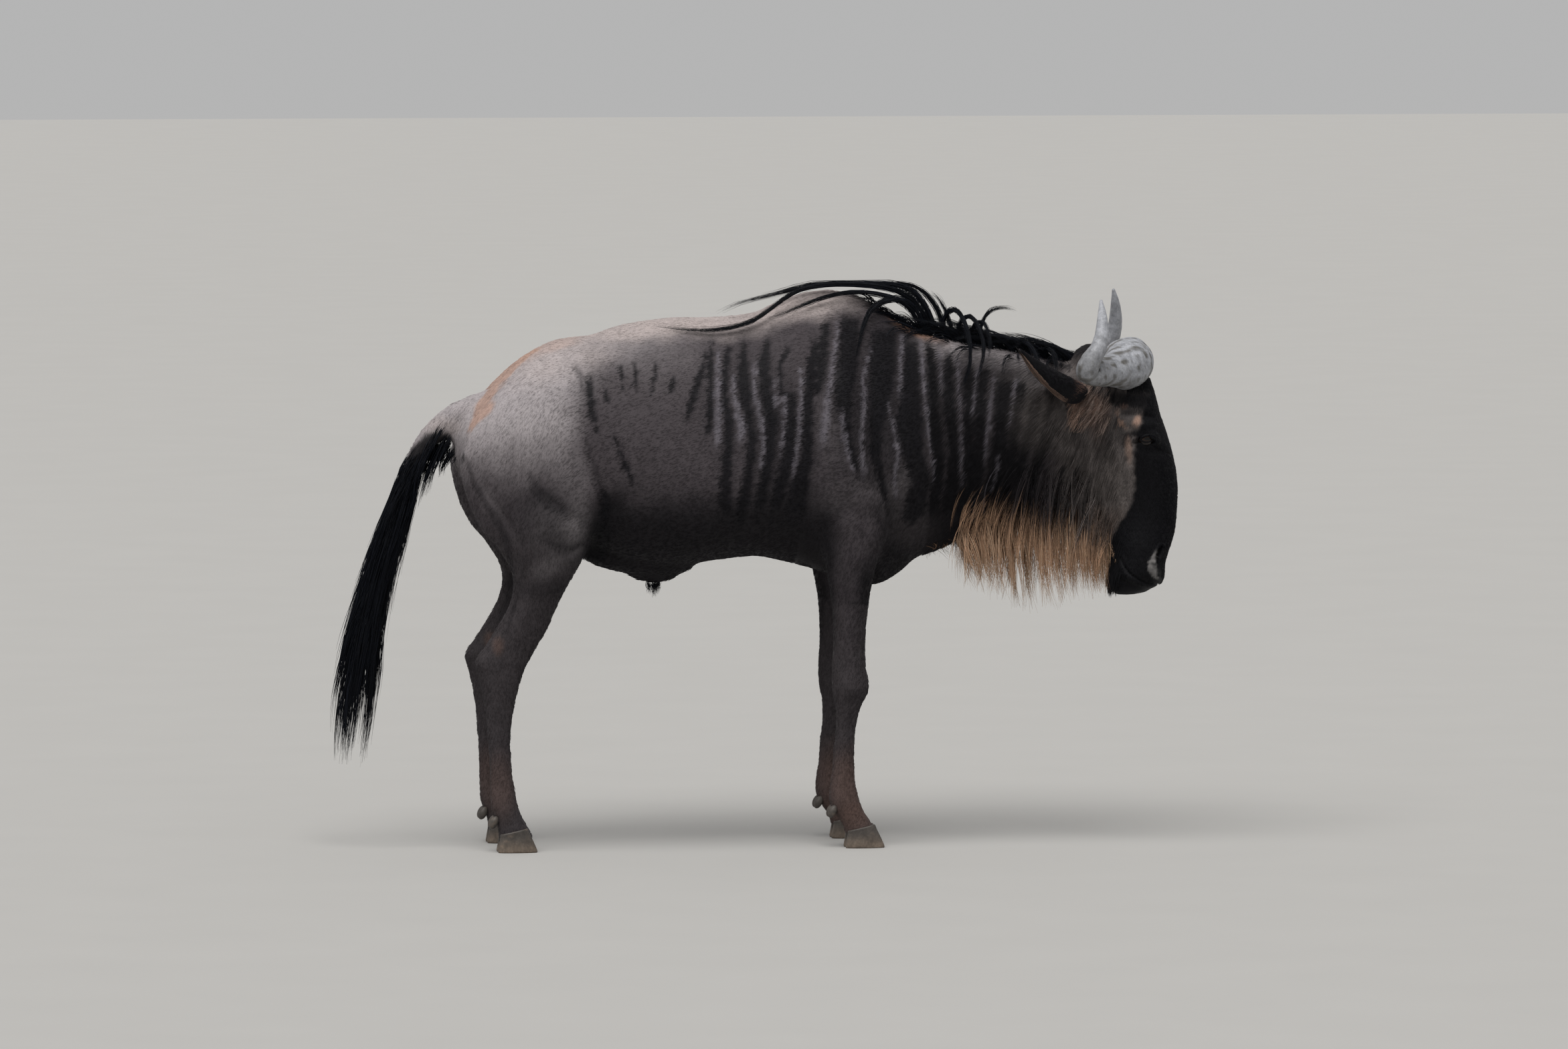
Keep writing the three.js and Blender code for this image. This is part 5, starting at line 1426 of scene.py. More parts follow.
def trunk_place(x, angle, depth):
    """A place of the straight trunk at x, at an angle from level, this deep under its surface."""
    _, top, wide, bottom, half, up_power, low_power = row_at(TRUNK, x).T
    up = np.sin(angle) >= 0
    power = np.where(up, up_power, low_power)
    reach = np.where(up, top - wide, wide - bottom) - depth
    y, z = (half - depth) * raised(np.cos(angle), power), wide + reach * raised(np.sin(angle), power)
    return np.stack([x, y, z], -1)


def bent_lines(roots, start, end, lengths, steps):
    """Lines that set out along start and bend evenly to end, as a running sum of short steps."""
    share = ((np.arange(steps - 1) + 0.5) / (steps - 1))[None, :, None]
    ways = unit(start[:, None] * (1 - share) + end[:, None] * share) * lengths[:, None, None] / (steps - 1)
    return np.concatenate([roots[:, None], roots[:, None] + np.cumsum(ways, 1)], 1)


def clumped(guides, rng, per, spread, cling, shortest=0.65):
    """Strands round guide lines, per of them for each: a strand keeps its own offset from its guide, less and less
    towards the tip by cling, wanders a little and has its own length, the shortest being this share of its guide."""
    count, steps = guides.shape[:2]
    lock = np.repeat(np.arange(count), per)
    total = len(lock)
    share = np.linspace(0, 1, steps)[None, :]
    at = share * rng.uniform(shortest, 1, (total, 1)) * (steps - 1)
    low = np.minimum(at.astype(int), steps - 2)
    part = (at - low)[..., None]
    rows = lock[:, None]
    base = guides[rows, low] * (1 - part) + guides[rows, low + 1] * part
    offset = rng.normal(size=(total, 1, 3)) * spread
    s = share[..., None]
    curl = rng.normal(size=(total, 1, 3)) * 3.2 * np.sin(np.pi * (s * rng.uniform(1, 2.4, (total, 1, 1))))
    return base + offset * (1 - cling * s ** 0.8) + curl * s, lock


def hair_piece(name, paths, low, high, rng, roots, wide=1.0, whole=None, fade=None, slot="hair", nodes=()):
    """Strands with colours between two, each its own, placed in the frame and kept inside the box of the solids, for
    the solids that they stand for."""
    hair = bpy.context.scene.wildebeest_hair
    total, steps = paths.shape[:2]
    mix = rng.random((total, 1, 1)) ** 2
    colours = (np.array(low) * (1 - mix) + np.array(high) * mix) * np.ones((total, steps, 1))
    if fade is not None:
        colours = fade(colours, paths, rng)
    widths = hair.strand / MM * wide * rng.uniform(0.6, 1.3, total)
    inside = np.clip(placed(paths, whole), np.array(CAD_BOX[0]) + BOX_GAP, np.array(CAD_BOX[1]) - BOX_GAP)
    return finish_piece(strands(name, inside, widths, colours, roots), "long", slot, *nodes)


class WILDEBEEST_OT_mane(bpy.types.Operator):
    """Mane: families of locks along the crest, and the long blown locks"""

    bl_idname = "wildebeest.mane"
    bl_label = "Mane"

    def execute(self, context):
        hair = context.scene.wildebeest_hair
        rng = np.random.default_rng(61)
        guides = []
        for count, first, last, side, spread, start, end, stray, lengths in MANE:
            x = first + (last - first) * (np.arange(count) + rng.uniform(0.1, 0.9, count)) / count
            angle = np.pi / 2 - (side + rng.uniform(-0.5, 0.5, count) * spread) * 0.3
            roots = trunk_place(x, angle, 8)
            start = unit(np.array(start) + rng.uniform(-stray, stray, (count, 3)))
            end = unit(np.array(end) + rng.uniform(-stray, stray, (count, 3)))
            guides.append(bent_lines(roots, start, end, rng.uniform(*lengths, count), 12))
        paths, _ = clumped(np.concatenate(guides), rng, per=13, spread=5.0, cling=0.68)
        hair_piece("mane_crest", paths, hair.mane, hair.sheen, rng, paths[:, 0], wide=0.8)
        lines = []
        for count, size, line in BLOWN:
            guide = curve_points(line, 14)[None]
            made, _ = clumped(guide, rng, per=count, spread=0.45 * size, cling=0.4, shortest=0.72)
            lines.append(made)
        paths = np.concatenate(lines)
        hair_piece("mane_blown", paths, hair.mane, hair.sheen, rng, paths[:, 0], wide=0.62)
        return {"FINISHED"}


class WILDEBEEST_OT_beard(bpy.types.Operator):
    """Beard, throat fringe and jaw hair"""

    bl_idname = "wildebeest.beard"
    bl_label = "Beard"

    def execute(self, context):
        hair = context.scene.wildebeest_hair
        coat = context.scene.wildebeest_coat
        for k, (name, count, per, first, last, half, trail, root, tip) in enumerate(THROAT):
            rng = np.random.default_rng(71 + k)
            x = first + (last - first) * (np.arange(count) + rng.uniform(0, 1, count)) / count
            y = rng.uniform(-1, 1, count) * half
            high = height_in(root, x) - 10 + 0.35 * np.abs(y)
            low = height_in(tip, x) + 46 * rng.random(count) ** 2
            sweep = trail * rng.uniform(-0.5, 1.9, count)
            bow = rng.uniform(-18, 26, count)
            t = np.linspace(0, 1, 10)[None, :]
            guides = np.stack([
                x[:, None] + bow[:, None] * np.sin(np.pi * t) + sweep[:, None] * t * t,
                y[:, None] * (1 + 0.5 * np.sin(np.pi * t) - 0.3 * t),
                high[:, None] + (low - high)[:, None] * t,
            ], -1)
            paths, lock = clumped(guides, rng, per, spread=8.0, cling=0.72, shortest=0.55)
            tone = rng.uniform(0.62, 1.2, count)[lock][:, None, None]

            def fade(colours, paths, rng, dark=(name == "throat_fringe"), tone=tone):
                z = paths[..., 2] + rng.normal(size=(len(paths), 1)) * 14
                if dark:
                    return painted(np.zeros_like(colours) + coat.stripe, hair.beard, 0.5 * smooth(770, 700, z))
                out = painted(colours, hair.beard_root, smooth(740, 800, z))
                out = painted(out, coat.stripe, 0.8 * smooth(775, 830, z))
                ends = smooth(690, 600, z + 0.3 * (paths[..., 0] - 640))
                return tone * painted(out, hair.beard_tip, 0.6 * ends)

            hair_piece(name, paths, hair.beard, hair.beard_tip, rng, paths[:, 0], wide=0.9, fade=fade, slot="hide")
        return {"FINISHED"}


# The lower edge of the cheek: x, distance from the middle plane, z.
CHEEK_EDGE = [[680, 86, 935], [740, 80, 915], [790, 68, 905], [830, 58, 880], [860, 62, 830], [878, 62, 775]]


class WILDEBEEST_OT_cheek_hair(bpy.types.Operator):
    """Long hair that falls from cheek, jaw and neck over the throat"""

    bl_idname = "wildebeest.cheek_hair"
    bl_label = "Cheek hair"

    def execute(self, context):
        coat, hair = context.scene.wildebeest_coat, context.scene.wildebeest_hair

        def where(p):
            x, y, z = p.T
            low = height_in([[560, 770], [660, 800], [780, 790], [880, 720]], x)
            band = smooth(low - 40, low, z) * smooth(low + 190, low + 60, z) * (np.abs(y) > 14)
            return band * smooth(520, 620, x) * smooth(886, 870, x)

        roots, normals, rng = sample_skin(430, where, 78)
        count = len(roots)
        side = np.sign(roots[:, 1])
        start = lie(roots, normals) + 0.05 * normals
        end = unit(np.stack([rng.normal(0.12, 0.12, count), -0.16 * side, -np.ones(count)], -1))
        tip = height_in([[520, 640], [620, 590], [700, 572], [800, 590], [890, 618]], roots[:, 0])
        drop = (roots[:, 2] - tip) * rng.uniform(0.35, 1.0, count)
        paths = bent_lines(roots - normals * 2, start, end, np.clip(drop, 45, 260), 8)
        paths = paths + rng.normal(size=(count, 1, 3)) * 4 * np.linspace(0, 1, 8)[None, :, None]
        # more locks from the cheek's lower edge
        edge = curve_points(CHEEK_EDGE, 200)
        count = 290
        more = edge[rng.integers(0, 200, count)] + rng.normal(size=(count, 3)) * [12, 0, 26]
        side = rng.choice([-1.0, 1.0], (count, 1))
        more[:, 1:2] = more[:, 1:2] * rng.uniform(0.55, 1.0, (count, 1)) * side
        start = unit(np.column_stack([rng.normal(-0.3, 0.12, count), 0.12 * side, -np.ones(count)]))
        end = unit(np.column_stack([rng.normal(0.12, 0.12, count), -0.22 * side, -np.ones(count)]))
        tip = height_in([[660, 575], [800, 592], [890, 616]], more[:, 0])
        drop = (more[:, 2] - tip) * rng.uniform(0.5, 1.0, count)
        guides = np.concatenate([paths, bent_lines(more, start, end, drop, 8)])
        paths, lock = clumped(guides, rng, per=5, spread=5.0, cling=0.6)
        roots = np.concatenate([roots, more])[lock]
        tone = rng.uniform(0.65, 1.3, len(guides))[lock][:, None, None]
        ground = markings(roots)[:, None] * tone

        def fade(colours, paths, rng):
            z = paths[..., 2] + rng.normal(size=(len(paths), 1)) * 22
            out = ground * rng.uniform(0.5, 1.1, (len(paths), 1, 1)) + 0 * colours
            z = z + 0.3 * (paths[..., 0] - 770)
            out = painted(out, np.array(hair.beard) * tone, 0.92 * smooth(800, 715, z))
            return painted(out, hair.beard_tip, 0.6 * smooth(700, 600, z))

        hair_piece("cheek_fall", paths, hair.beard, hair.beard_tip, rng, roots, wide=0.62, fade=fade, slot="hide")
        self.ear_roots(coat, hair)
        return {"FINISHED"}

    def ear_roots(self, coat, hair):
        """Tan and grey tufts that fall from under each horn over the ear's root."""

        def where(p):
            x, y, z = p.T
            band = smooth(1034, 1060, z) * smooth(1150, 1128, z)
            return smooth(788, 806, x) * smooth(896, 878, x) * band * (np.abs(y) > 40)

        roots, normals, rng = sample_skin(170, where, 79)
        count = len(roots)
        start = unit(normals * 0.8 + rng.normal([-0.1, 0, -0.6], 0.15, (count, 3)))
        end = unit(rng.normal([-0.55, 0, -0.8], 0.12, (count, 3)))
        guides = bent_lines(roots - normals, start, end, rng.uniform(34, 66, count), 7)
        paths, lock = clumped(guides, rng, per=6, spread=4.0, cling=0.65)
        tan = smooth(850, 815, roots[:, 0] + 8 * rng.normal(size=count))
        tone = painted(np.tile(np.array(coat.cheek), (count, 1)), coat.brow_tan, 0.3 + 0.5 * tan)
        tone = tone * rng.uniform(0.55, 1.35, (count, 1))

        def fade(colours, paths, rng):
            return tone[lock][:, None] * rng.uniform(0.75, 1.25, (len(paths), 1, 1)) + 0 * colours

        roots = roots[lock]
        hair_piece("ear_root_tufts", paths, hair.beard, hair.beard_tip, rng, roots, wide=0.5, fade=fade, slot="hide")


# Locks on the sheath: root and length.
SHEATH_LOCKS = [[-262, -4, 650, 30], [-250, 2, 648, 36], [-238, 4, 652, 26], [-246, -6, 650, 30]]


class WILDEBEEST_OT_tail(bpy.types.Operator):
    """Hair of the tail, and the tuft on the sheath"""

    bl_idname = "wildebeest.tail"
    bl_label = "Tail"

    def execute(self, context):
        hair = context.scene.wildebeest_hair
        rng = np.random.default_rng(81)
        line = curve_points(TAIL_LINE, 400)
        count, steps = 150, 10
        share = np.sort(rng.uniform(0, 1, count))
        start = 0.02 + 0.66 * share
        reach = np.minimum(rng.uniform(0.26, 0.5, count), 1 - start)
        angle = rng.uniform(0, 2 * np.pi, count)
        away = rng.uniform(0.25, 1.0, count) ** 0.6
        t = start[:, None] + reach[:, None] * np.linspace(0, 1, steps)[None, :]
        index = np.clip((t * 399).astype(int), 0, 399)
        half = line[index, 3] * away[:, None] * (0.35 + 0.65 * np.linspace(0, 1, steps) ** 0.5)
        aside, across = np.cos(angle)[:, None] * half, np.sin(angle)[:, None] * half * 0.75
        guides = line[index, :3] + np.stack([aside, across, 0 * half], -1)
        paths, _ = clumped(guides, rng, per=13, spread=9.0, cling=0.6)
        # locks from the sides and underside of the dock, and below it
        rows = curve_points(DOCK, 300)
        rows = rows[(rows[:, 0] < -762) & (rows[:, 0] > -852)]
        count, few = 46, 12
        rows = rows[rng.integers(0, len(rows), count)]
        angle = rng.uniform(-3.3, 0.15, count)
        around = np.stack([-0.4 * np.sin(angle), np.cos(angle), np.sin(angle)], -1)
        roots = rows[:, :3] + around * np.stack([rows[:, 3], rows[:, 4], rows[:, 3]], -1) * 0.8
        start = unit(np.array([-0.6, 0, -0.8]) + 0.2 * around)
        end = unit(np.array([-0.3, 0, -1.0]) + 0.16 * around)
        locks = [bent_lines(roots, start, end, rng.uniform(80, 190, count), steps)]
        x, y, z = rng.uniform(-756, -738, few), rng.uniform(-24, 24, few), rng.uniform(962, 1022, few)
        roots = np.stack([x, y, z], -1)
        down = unit(np.array([-0.12, 0, -1.0]) + 0 * roots)
        locks.append(bent_lines(roots, unit(down - [0.5, 0, 0]), down, rng.uniform(40, 85, few), steps))
        more, _ = clumped(np.concatenate(locks), rng, per=12, spread=5.0, cling=0.5)
        paths = np.concatenate([paths, more])
        hair_piece("tail_hair", paths, hair.mane, hair.sheen, rng, paths[:, 0], nodes=("tail",))
        rng = np.random.default_rng(82)
        guides = np.array([np.linspace([x, y, z], [x + 4, y, z - length], 8) for x, y, z, length in SHEATH_LOCKS])
        paths, _ = clumped(guides, rng, per=26, spread=4.0, cling=0.5)
        hair_piece("sheath_hair", paths, hair.mane, hair.sheen, rng, paths[:, 0], wide=0.7, slot="hide")
        return {"FINISHED"}


# The ear: its root and tip on the left side, the way it opens, its widest radius and its wall's thickness.
EAR = {"root": (826, 83, 1118), "tip": (671, 190, 1225), "open": (-0.62, 0.05, -0.78), "radius": 41, "wall": 4.0}


def ear_surface(side, inner, rows=44, columns=33):
    """An ear: part of a circle, rolled open downwards and back, carried from root to tip. Its radius swells and
    shrinks as a sine along the ear, and its opening widens."""
    root, tip = np.array(EAR["root"]) * [1, side, 1], np.array(EAR["tip"]) * [1, side, 1]
    along = unit((tip - root).astype(float))
    opening = np.array(EAR["open"]) * [1, side, 1]
    opening = unit(opening - along * (opening @ along))
    across = np.cross(along, opening)
    t = np.linspace(0, 1, rows)[:, None]
    radius = EAR["radius"] * np.sin(np.pi * (0.13 + 0.85 * t ** 0.8)) ** 0.8 + 1
    wall = np.minimum(EAR["wall"] * (1.6 - t), radius * 0.5)
    spread = 2.4 + (1.3 - 2.4) * t ** 0.6
    centre = root + (tip - root) * t + opening * (16 * np.sin(np.pi * t) + radius * 0.5)
    angle = spread * np.linspace(-1, 1, columns)[None, :]
    r = radius - inner * wall
    return (
        centre[:, None] - opening * (r * np.cos(angle))[..., None] + across * (r * np.sin(angle))[..., None]
    )


def ear_body(side):
    """The ear's outer and inner sheets joined round their border."""
    outer, inner = ear_surface(side, 0), ear_surface(side, 1)
    rows, columns = outer.shape[:2]
    size = rows * columns
    r, c = np.meshgrid(np.arange(rows - 1), np.arange(columns - 1), indexing="ij")
    a = (r * columns + c).reshape(-1)
    face = np.stack([a, a + 1, a + columns + 1, a + columns], -1)
    border = np.concatenate([
        np.arange(columns), np.arange(1, rows) * columns + columns - 1,
        size - 2 - np.arange(columns - 1), (np.arange(rows - 2, 0, -1)) * columns,
    ])
    following = np.roll(border, -1)
    rim = np.stack([following, border, border + size, following + size], -1)
    faces = [face, face[:, ::-1] + size, rim]
    points = np.concatenate([outer.reshape(-1, 3), inner.reshape(-1, 3)])
    middle = outer[rows // 2, columns // 2]
    normal = np.cross(outer[rows // 2, columns // 2 + 1] - middle, outer[rows // 2 + 1, columns // 2] - middle)
    if normal @ (middle - inner[rows // 2, columns // 2]) < 0:
        faces = [f[:, ::-1] for f in faces]
    return points, faces, size


class WILDEBEEST_OT_ears(bpy.types.Operator):
    """Ears, dark outside, with pale hair along their edges and rusty hair at their roots"""

    bl_idname = "wildebeest.ears"
    bl_label = "Ears"

    def execute(self, context):
        coat = context.scene.wildebeest_coat
        for name, side in SIDES:
            points, faces, size = ear_body(side)
            p = placed(points, True)
            piece = mesh_of("ear_skin_" + name, p, faces)
            colour = np.tile(np.array(coat.black), (len(p), 1))
            inner = np.arange(len(p)) >= size
            colour = painted(colour, coat.cheek, 0.6 * inner)
            colour_layer(piece.data, "Markings", colour)
            finish_piece(piece, "hide", "hide", "ear_" + name)
            self.hair(name, side, coat)
        return {"FINISHED"}

    def hair(self, name, side, coat):
        """Short hair outside, and longer pale hair along both edges and inside."""
        rng = np.random.default_rng(91)
        outer, inner = ear_surface(side, 0, 90, 61), ear_surface(side, 1, 90, 61)
        count = 5200
        row, column = rng.integers(2, 86, count), rng.integers(0, 61, count)
        edge = rng.random(count) < 0.3
        lower, first, last = rng.random(count) < 0.5, rng.integers(0, 4, count), rng.integers(57, 61, count)
        column = np.where(edge, np.where(lower, first, last), column)
        inside = rng.random(count) < 0.3
        roots = np.where(inside[:, None], inner[row, column], outer[row, column])
        out = unit(outer[row, column] - inner[row, column])
        normals = np.where(inside[:, None], -out, out)
        ways = unit(outer[np.minimum(row + 2, 89), column] - outer[row, column])
        rim = (column < 5) | (column > 55)
        spread = np.where(column < 30, -1, 1)[:, None] * unit(np.roll(outer, -1, 1)[row, 30] - outer[row, 30])
        ways = unit(ways + (0.5 * rim)[:, None] * spread)
        lengths = np.where(rim, 17, 9) * rng.uniform(0.6, 1.3, count)
        lengths = lengths * np.where(inside & ~rim, 1.4, 1)
        colours = np.tile(np.array(coat.stripe) * 0.8, (count, 1))
        pale = rim & (row > 16)
        colours = painted(colours, coat.brow_tan, pale * np.where(column < 30, 0.8, 0.45))
        colours = painted(colours, coat.cheek, 0.8 * (inside & ~rim))
        colours = painted(colours, coat.rust, 0.9 * smooth(20, 8, row.astype(float)))
        colours = painted(colours, coat.black, smooth(74, 84, row.astype(float)))
        colours = colours * rng.uniform(0.75, 1.2, (count, 1))
        piece = head_tufts("ear_hair_" + name, roots, normals, ways, lengths, np.full(count, 1.7), rng, colours)
        finish_piece(piece, "fur", "hide")


def head_tufts(name, roots, normals, ways, lengths, widths, rng, colours):
    """Tufts on something that stands off the head and turns with it: they are made on the straight animal and their
    places are turned by the whole angle."""
    flat = unit(ways - normals * np.sum(ways * normals, -1, keepdims=True))
    lift = 0.12 * rng.uniform(0.5, 1.5, len(roots))
    piece = tufts(name, roots, normals, flat, lengths, widths, lift, colours)
    straight = read_points(piece.data)[0] / MM - SHIFT
    write_points(piece.data, placed(unturned(straight), True))
    return piece


def unturned(p):
    """The straight place of a turned one, worked out backwards from the bend's circle."""
    x, y, z = p.T
    radius = (BEND_END - BEND_START) / HEAD_TURN
    out = np.stack([x, y, z], -1)
    bend = x > BEND_START
    angle = np.clip(np.arctan2(x - BEND_START, y + radius), 0, HEAD_TURN)
    end = angle >= HEAD_TURN
    s, c = np.sin(HEAD_TURN), np.cos(HEAD_TURN)
    dx, dy = x - BEND_START - radius * s, y + radius * (1 - c)
    out[:, 0] = np.where(bend, np.where(end, BEND_END + dx * c - dy * s, BEND_START + radius * angle), x)
    out[:, 1] = np.where(bend, np.where(end, dx * s + dy * c, np.hypot(x - BEND_START, y + radius) - radius), y)
    return out


HORN_SIDES = 72


class WILDEBEEST_OT_horns(bpy.types.Operator):
    """Horns: two rough bosses that nearly meet, and tips that curve in"""

    bl_idname = "wildebeest.horns"
    bl_label = "Horns"

    def execute(self, context):
        horn = context.scene.wildebeest_horn
        for name, side in SIDES:
            table = np.array(HORN, float)
            table[:, [0, 2]] += np.array(LEFT_LEAN)[:, None] * (side == LEFT)
            rows = curve_points(table, 150)
            centre = rows[:, :3] * [1, 0.993 * side, 1]
            share = np.linspace(0, 1, len(rows))
            boss = smooth(0.5, 0.2, share)
            edge = 1 - 0.16 * np.exp(-share * 60)
            sized = np.column_stack([centre, rows[:, 4] * edge, rows[:, 3] * edge])
            rings = carried(sized, HORN_SIDES, np.array([1.0, 0, 0]))
            out = unit(rings - centre[:, None])
            flat = rings.reshape(-1, 3)
            lumps = 2.0 * ripple(flat, 60, 51) + 0.7 * ripple(flat, 27, 52)
            lumps = lumps - 0.5 * smooth(0.4, 0.9, ripple(flat, 9, 53))
            lumps = lumps.reshape(rings.shape[:2]) * boss[:, None]
            growth = 0.7 * np.sin(share * 150)[:, None] * (smooth(0.3, 0.5, share) * smooth(0.9, 0.7, share))[:, None]
            size = np.minimum(rows[:, 3], rows[:, 4])[:, None] / 60
            within = np.minimum(1.2, 0.15 * rows[:, 3])[:, None]
            rings = rings + out * (lumps - within + growth * size)[..., None]
            rings[..., 1] = side * np.maximum(side * rings[..., 1], 0.8)
            points, faces = tube(rings)
            piece = mesh_of("horn_shell_" + name, placed(points, True), faces)
            colour = np.tile(np.array(horn.boss), (len(points), 1))
            grain = np.concatenate([np.repeat(share, HORN_SIDES), [0, 1]])
            dark = 0.9 * smooth(0.0, 0.8, ripple(points, 40, 55)) + 0.6 * smooth(0.2, 0.9, ripple(points, 18, 56))
            middle = 0.35 * smooth(0.3, 0.5, grain) * smooth(0.85, 0.6, grain)
            colour = painted(colour, horn.dark, dark * smooth(0.75, 0.5, grain) + middle)
            # painted shade: darker on the underside of the boss, towards the head
            colour = painted(colour, horn.dark, 0.5 * smooth(1165, 1130, points[:, 2]))
            colour_layer(piece.data, "Markings", colour)
            finish_piece(piece, "horn", "horn", "horn_" + name)
        return {"FINISHED"}


# One toe's hoof: length, half width, half the gap between toes and how its top slopes; and for each foot the heel's
# x, the height of the hoof's top and the dewclaw's x and z.
HOOF = {"length": 100, "half": 15.5, "cleft": 1.6, "slope": 0.22}
FEET = {"hind": (-650, 48, -660, 74), "fore": (208, 46, 176, 90)}


def hoof_body(foot, side, out):
    """One toe: level rounded sections, flat towards the cleft, that shrink upwards to a sloping top with a soft
    band."""
    heel, line = FEET[foot][:2]
    f = np.linspace(0, 1, 22)[:, None]
    angle = np.linspace(0, 2 * np.pi, 36, endpoint=False)[None, :]
    rise = 0.8 * f
    soft = 1 - 0.05 * np.exp(-f * 26) + 0.03 * bell(f - 0.93, 0.07)
    start, stop = heel + 10 * rise, heel + HOOF["length"] - 34 * rise
    half = (HOOF["half"] - 1.5 * rise) * soft
    front = np.where(np.cos(angle) > 0, 1.15, 0.7)
    x = (start + stop) / 2 + (stop - start) / 2 * soft * raised(np.cos(angle), front)
    y = np.maximum(raised(np.sin(angle), 0.8) * half, -half * 0.98)
    top = line + 6 + HOOF["slope"] * (x - heel - HOOF["length"] / 2)
    place = side * FOOT_AWAY + out * (HOOF["cleft"] + HOOF["half"] + y)
    return tube(np.stack([x, place, f * top], -1))


class WILDEBEEST_OT_hooves(bpy.types.Operator):
    """Hooves and dewclaws"""

    bl_idname = "wildebeest.hooves"
    bl_label = "Hooves"

    def execute(self, context):
        horn = context.scene.wildebeest_horn
        for foot, (_, _, claw_x, claw_z) in FEET.items():
            for name, side in SIDES:
                for place, out in (("inner", -side), ("outer", side)):
                    end = "_".join([foot, name, place])
                    points, faces = hoof_body(foot, side, out)
                    self.piece("hoof_wall_" + end, points, faces, horn, "hoof_" + end)
                    claw = egg([claw_x + 1, side * FOOT_AWAY + out * 15, claw_z], [10, 10, 17], 0.45, 20)
                    self.piece("claw_" + end, *claw, horn, "dewclaw_" + end)
        return {"FINISHED"}

    def piece(self, name, points, faces, horn, node):
        """One hoof or claw, dusty below and darker above."""
        made = mesh_of(name, placed(points), faces)
        colour = np.tile(np.array(horn.hoof), (len(points), 1))
        dust = 0.7 * smooth(40, 0, points[:, 2]) + 0.35 * smooth(0.2, 1, ripple(points, 14, 57))
        colour = painted(colour, horn.dust, dust)
        colour_layer(made.data, "Markings", colour)
        finish_piece(made, "horn", "hoof", node)


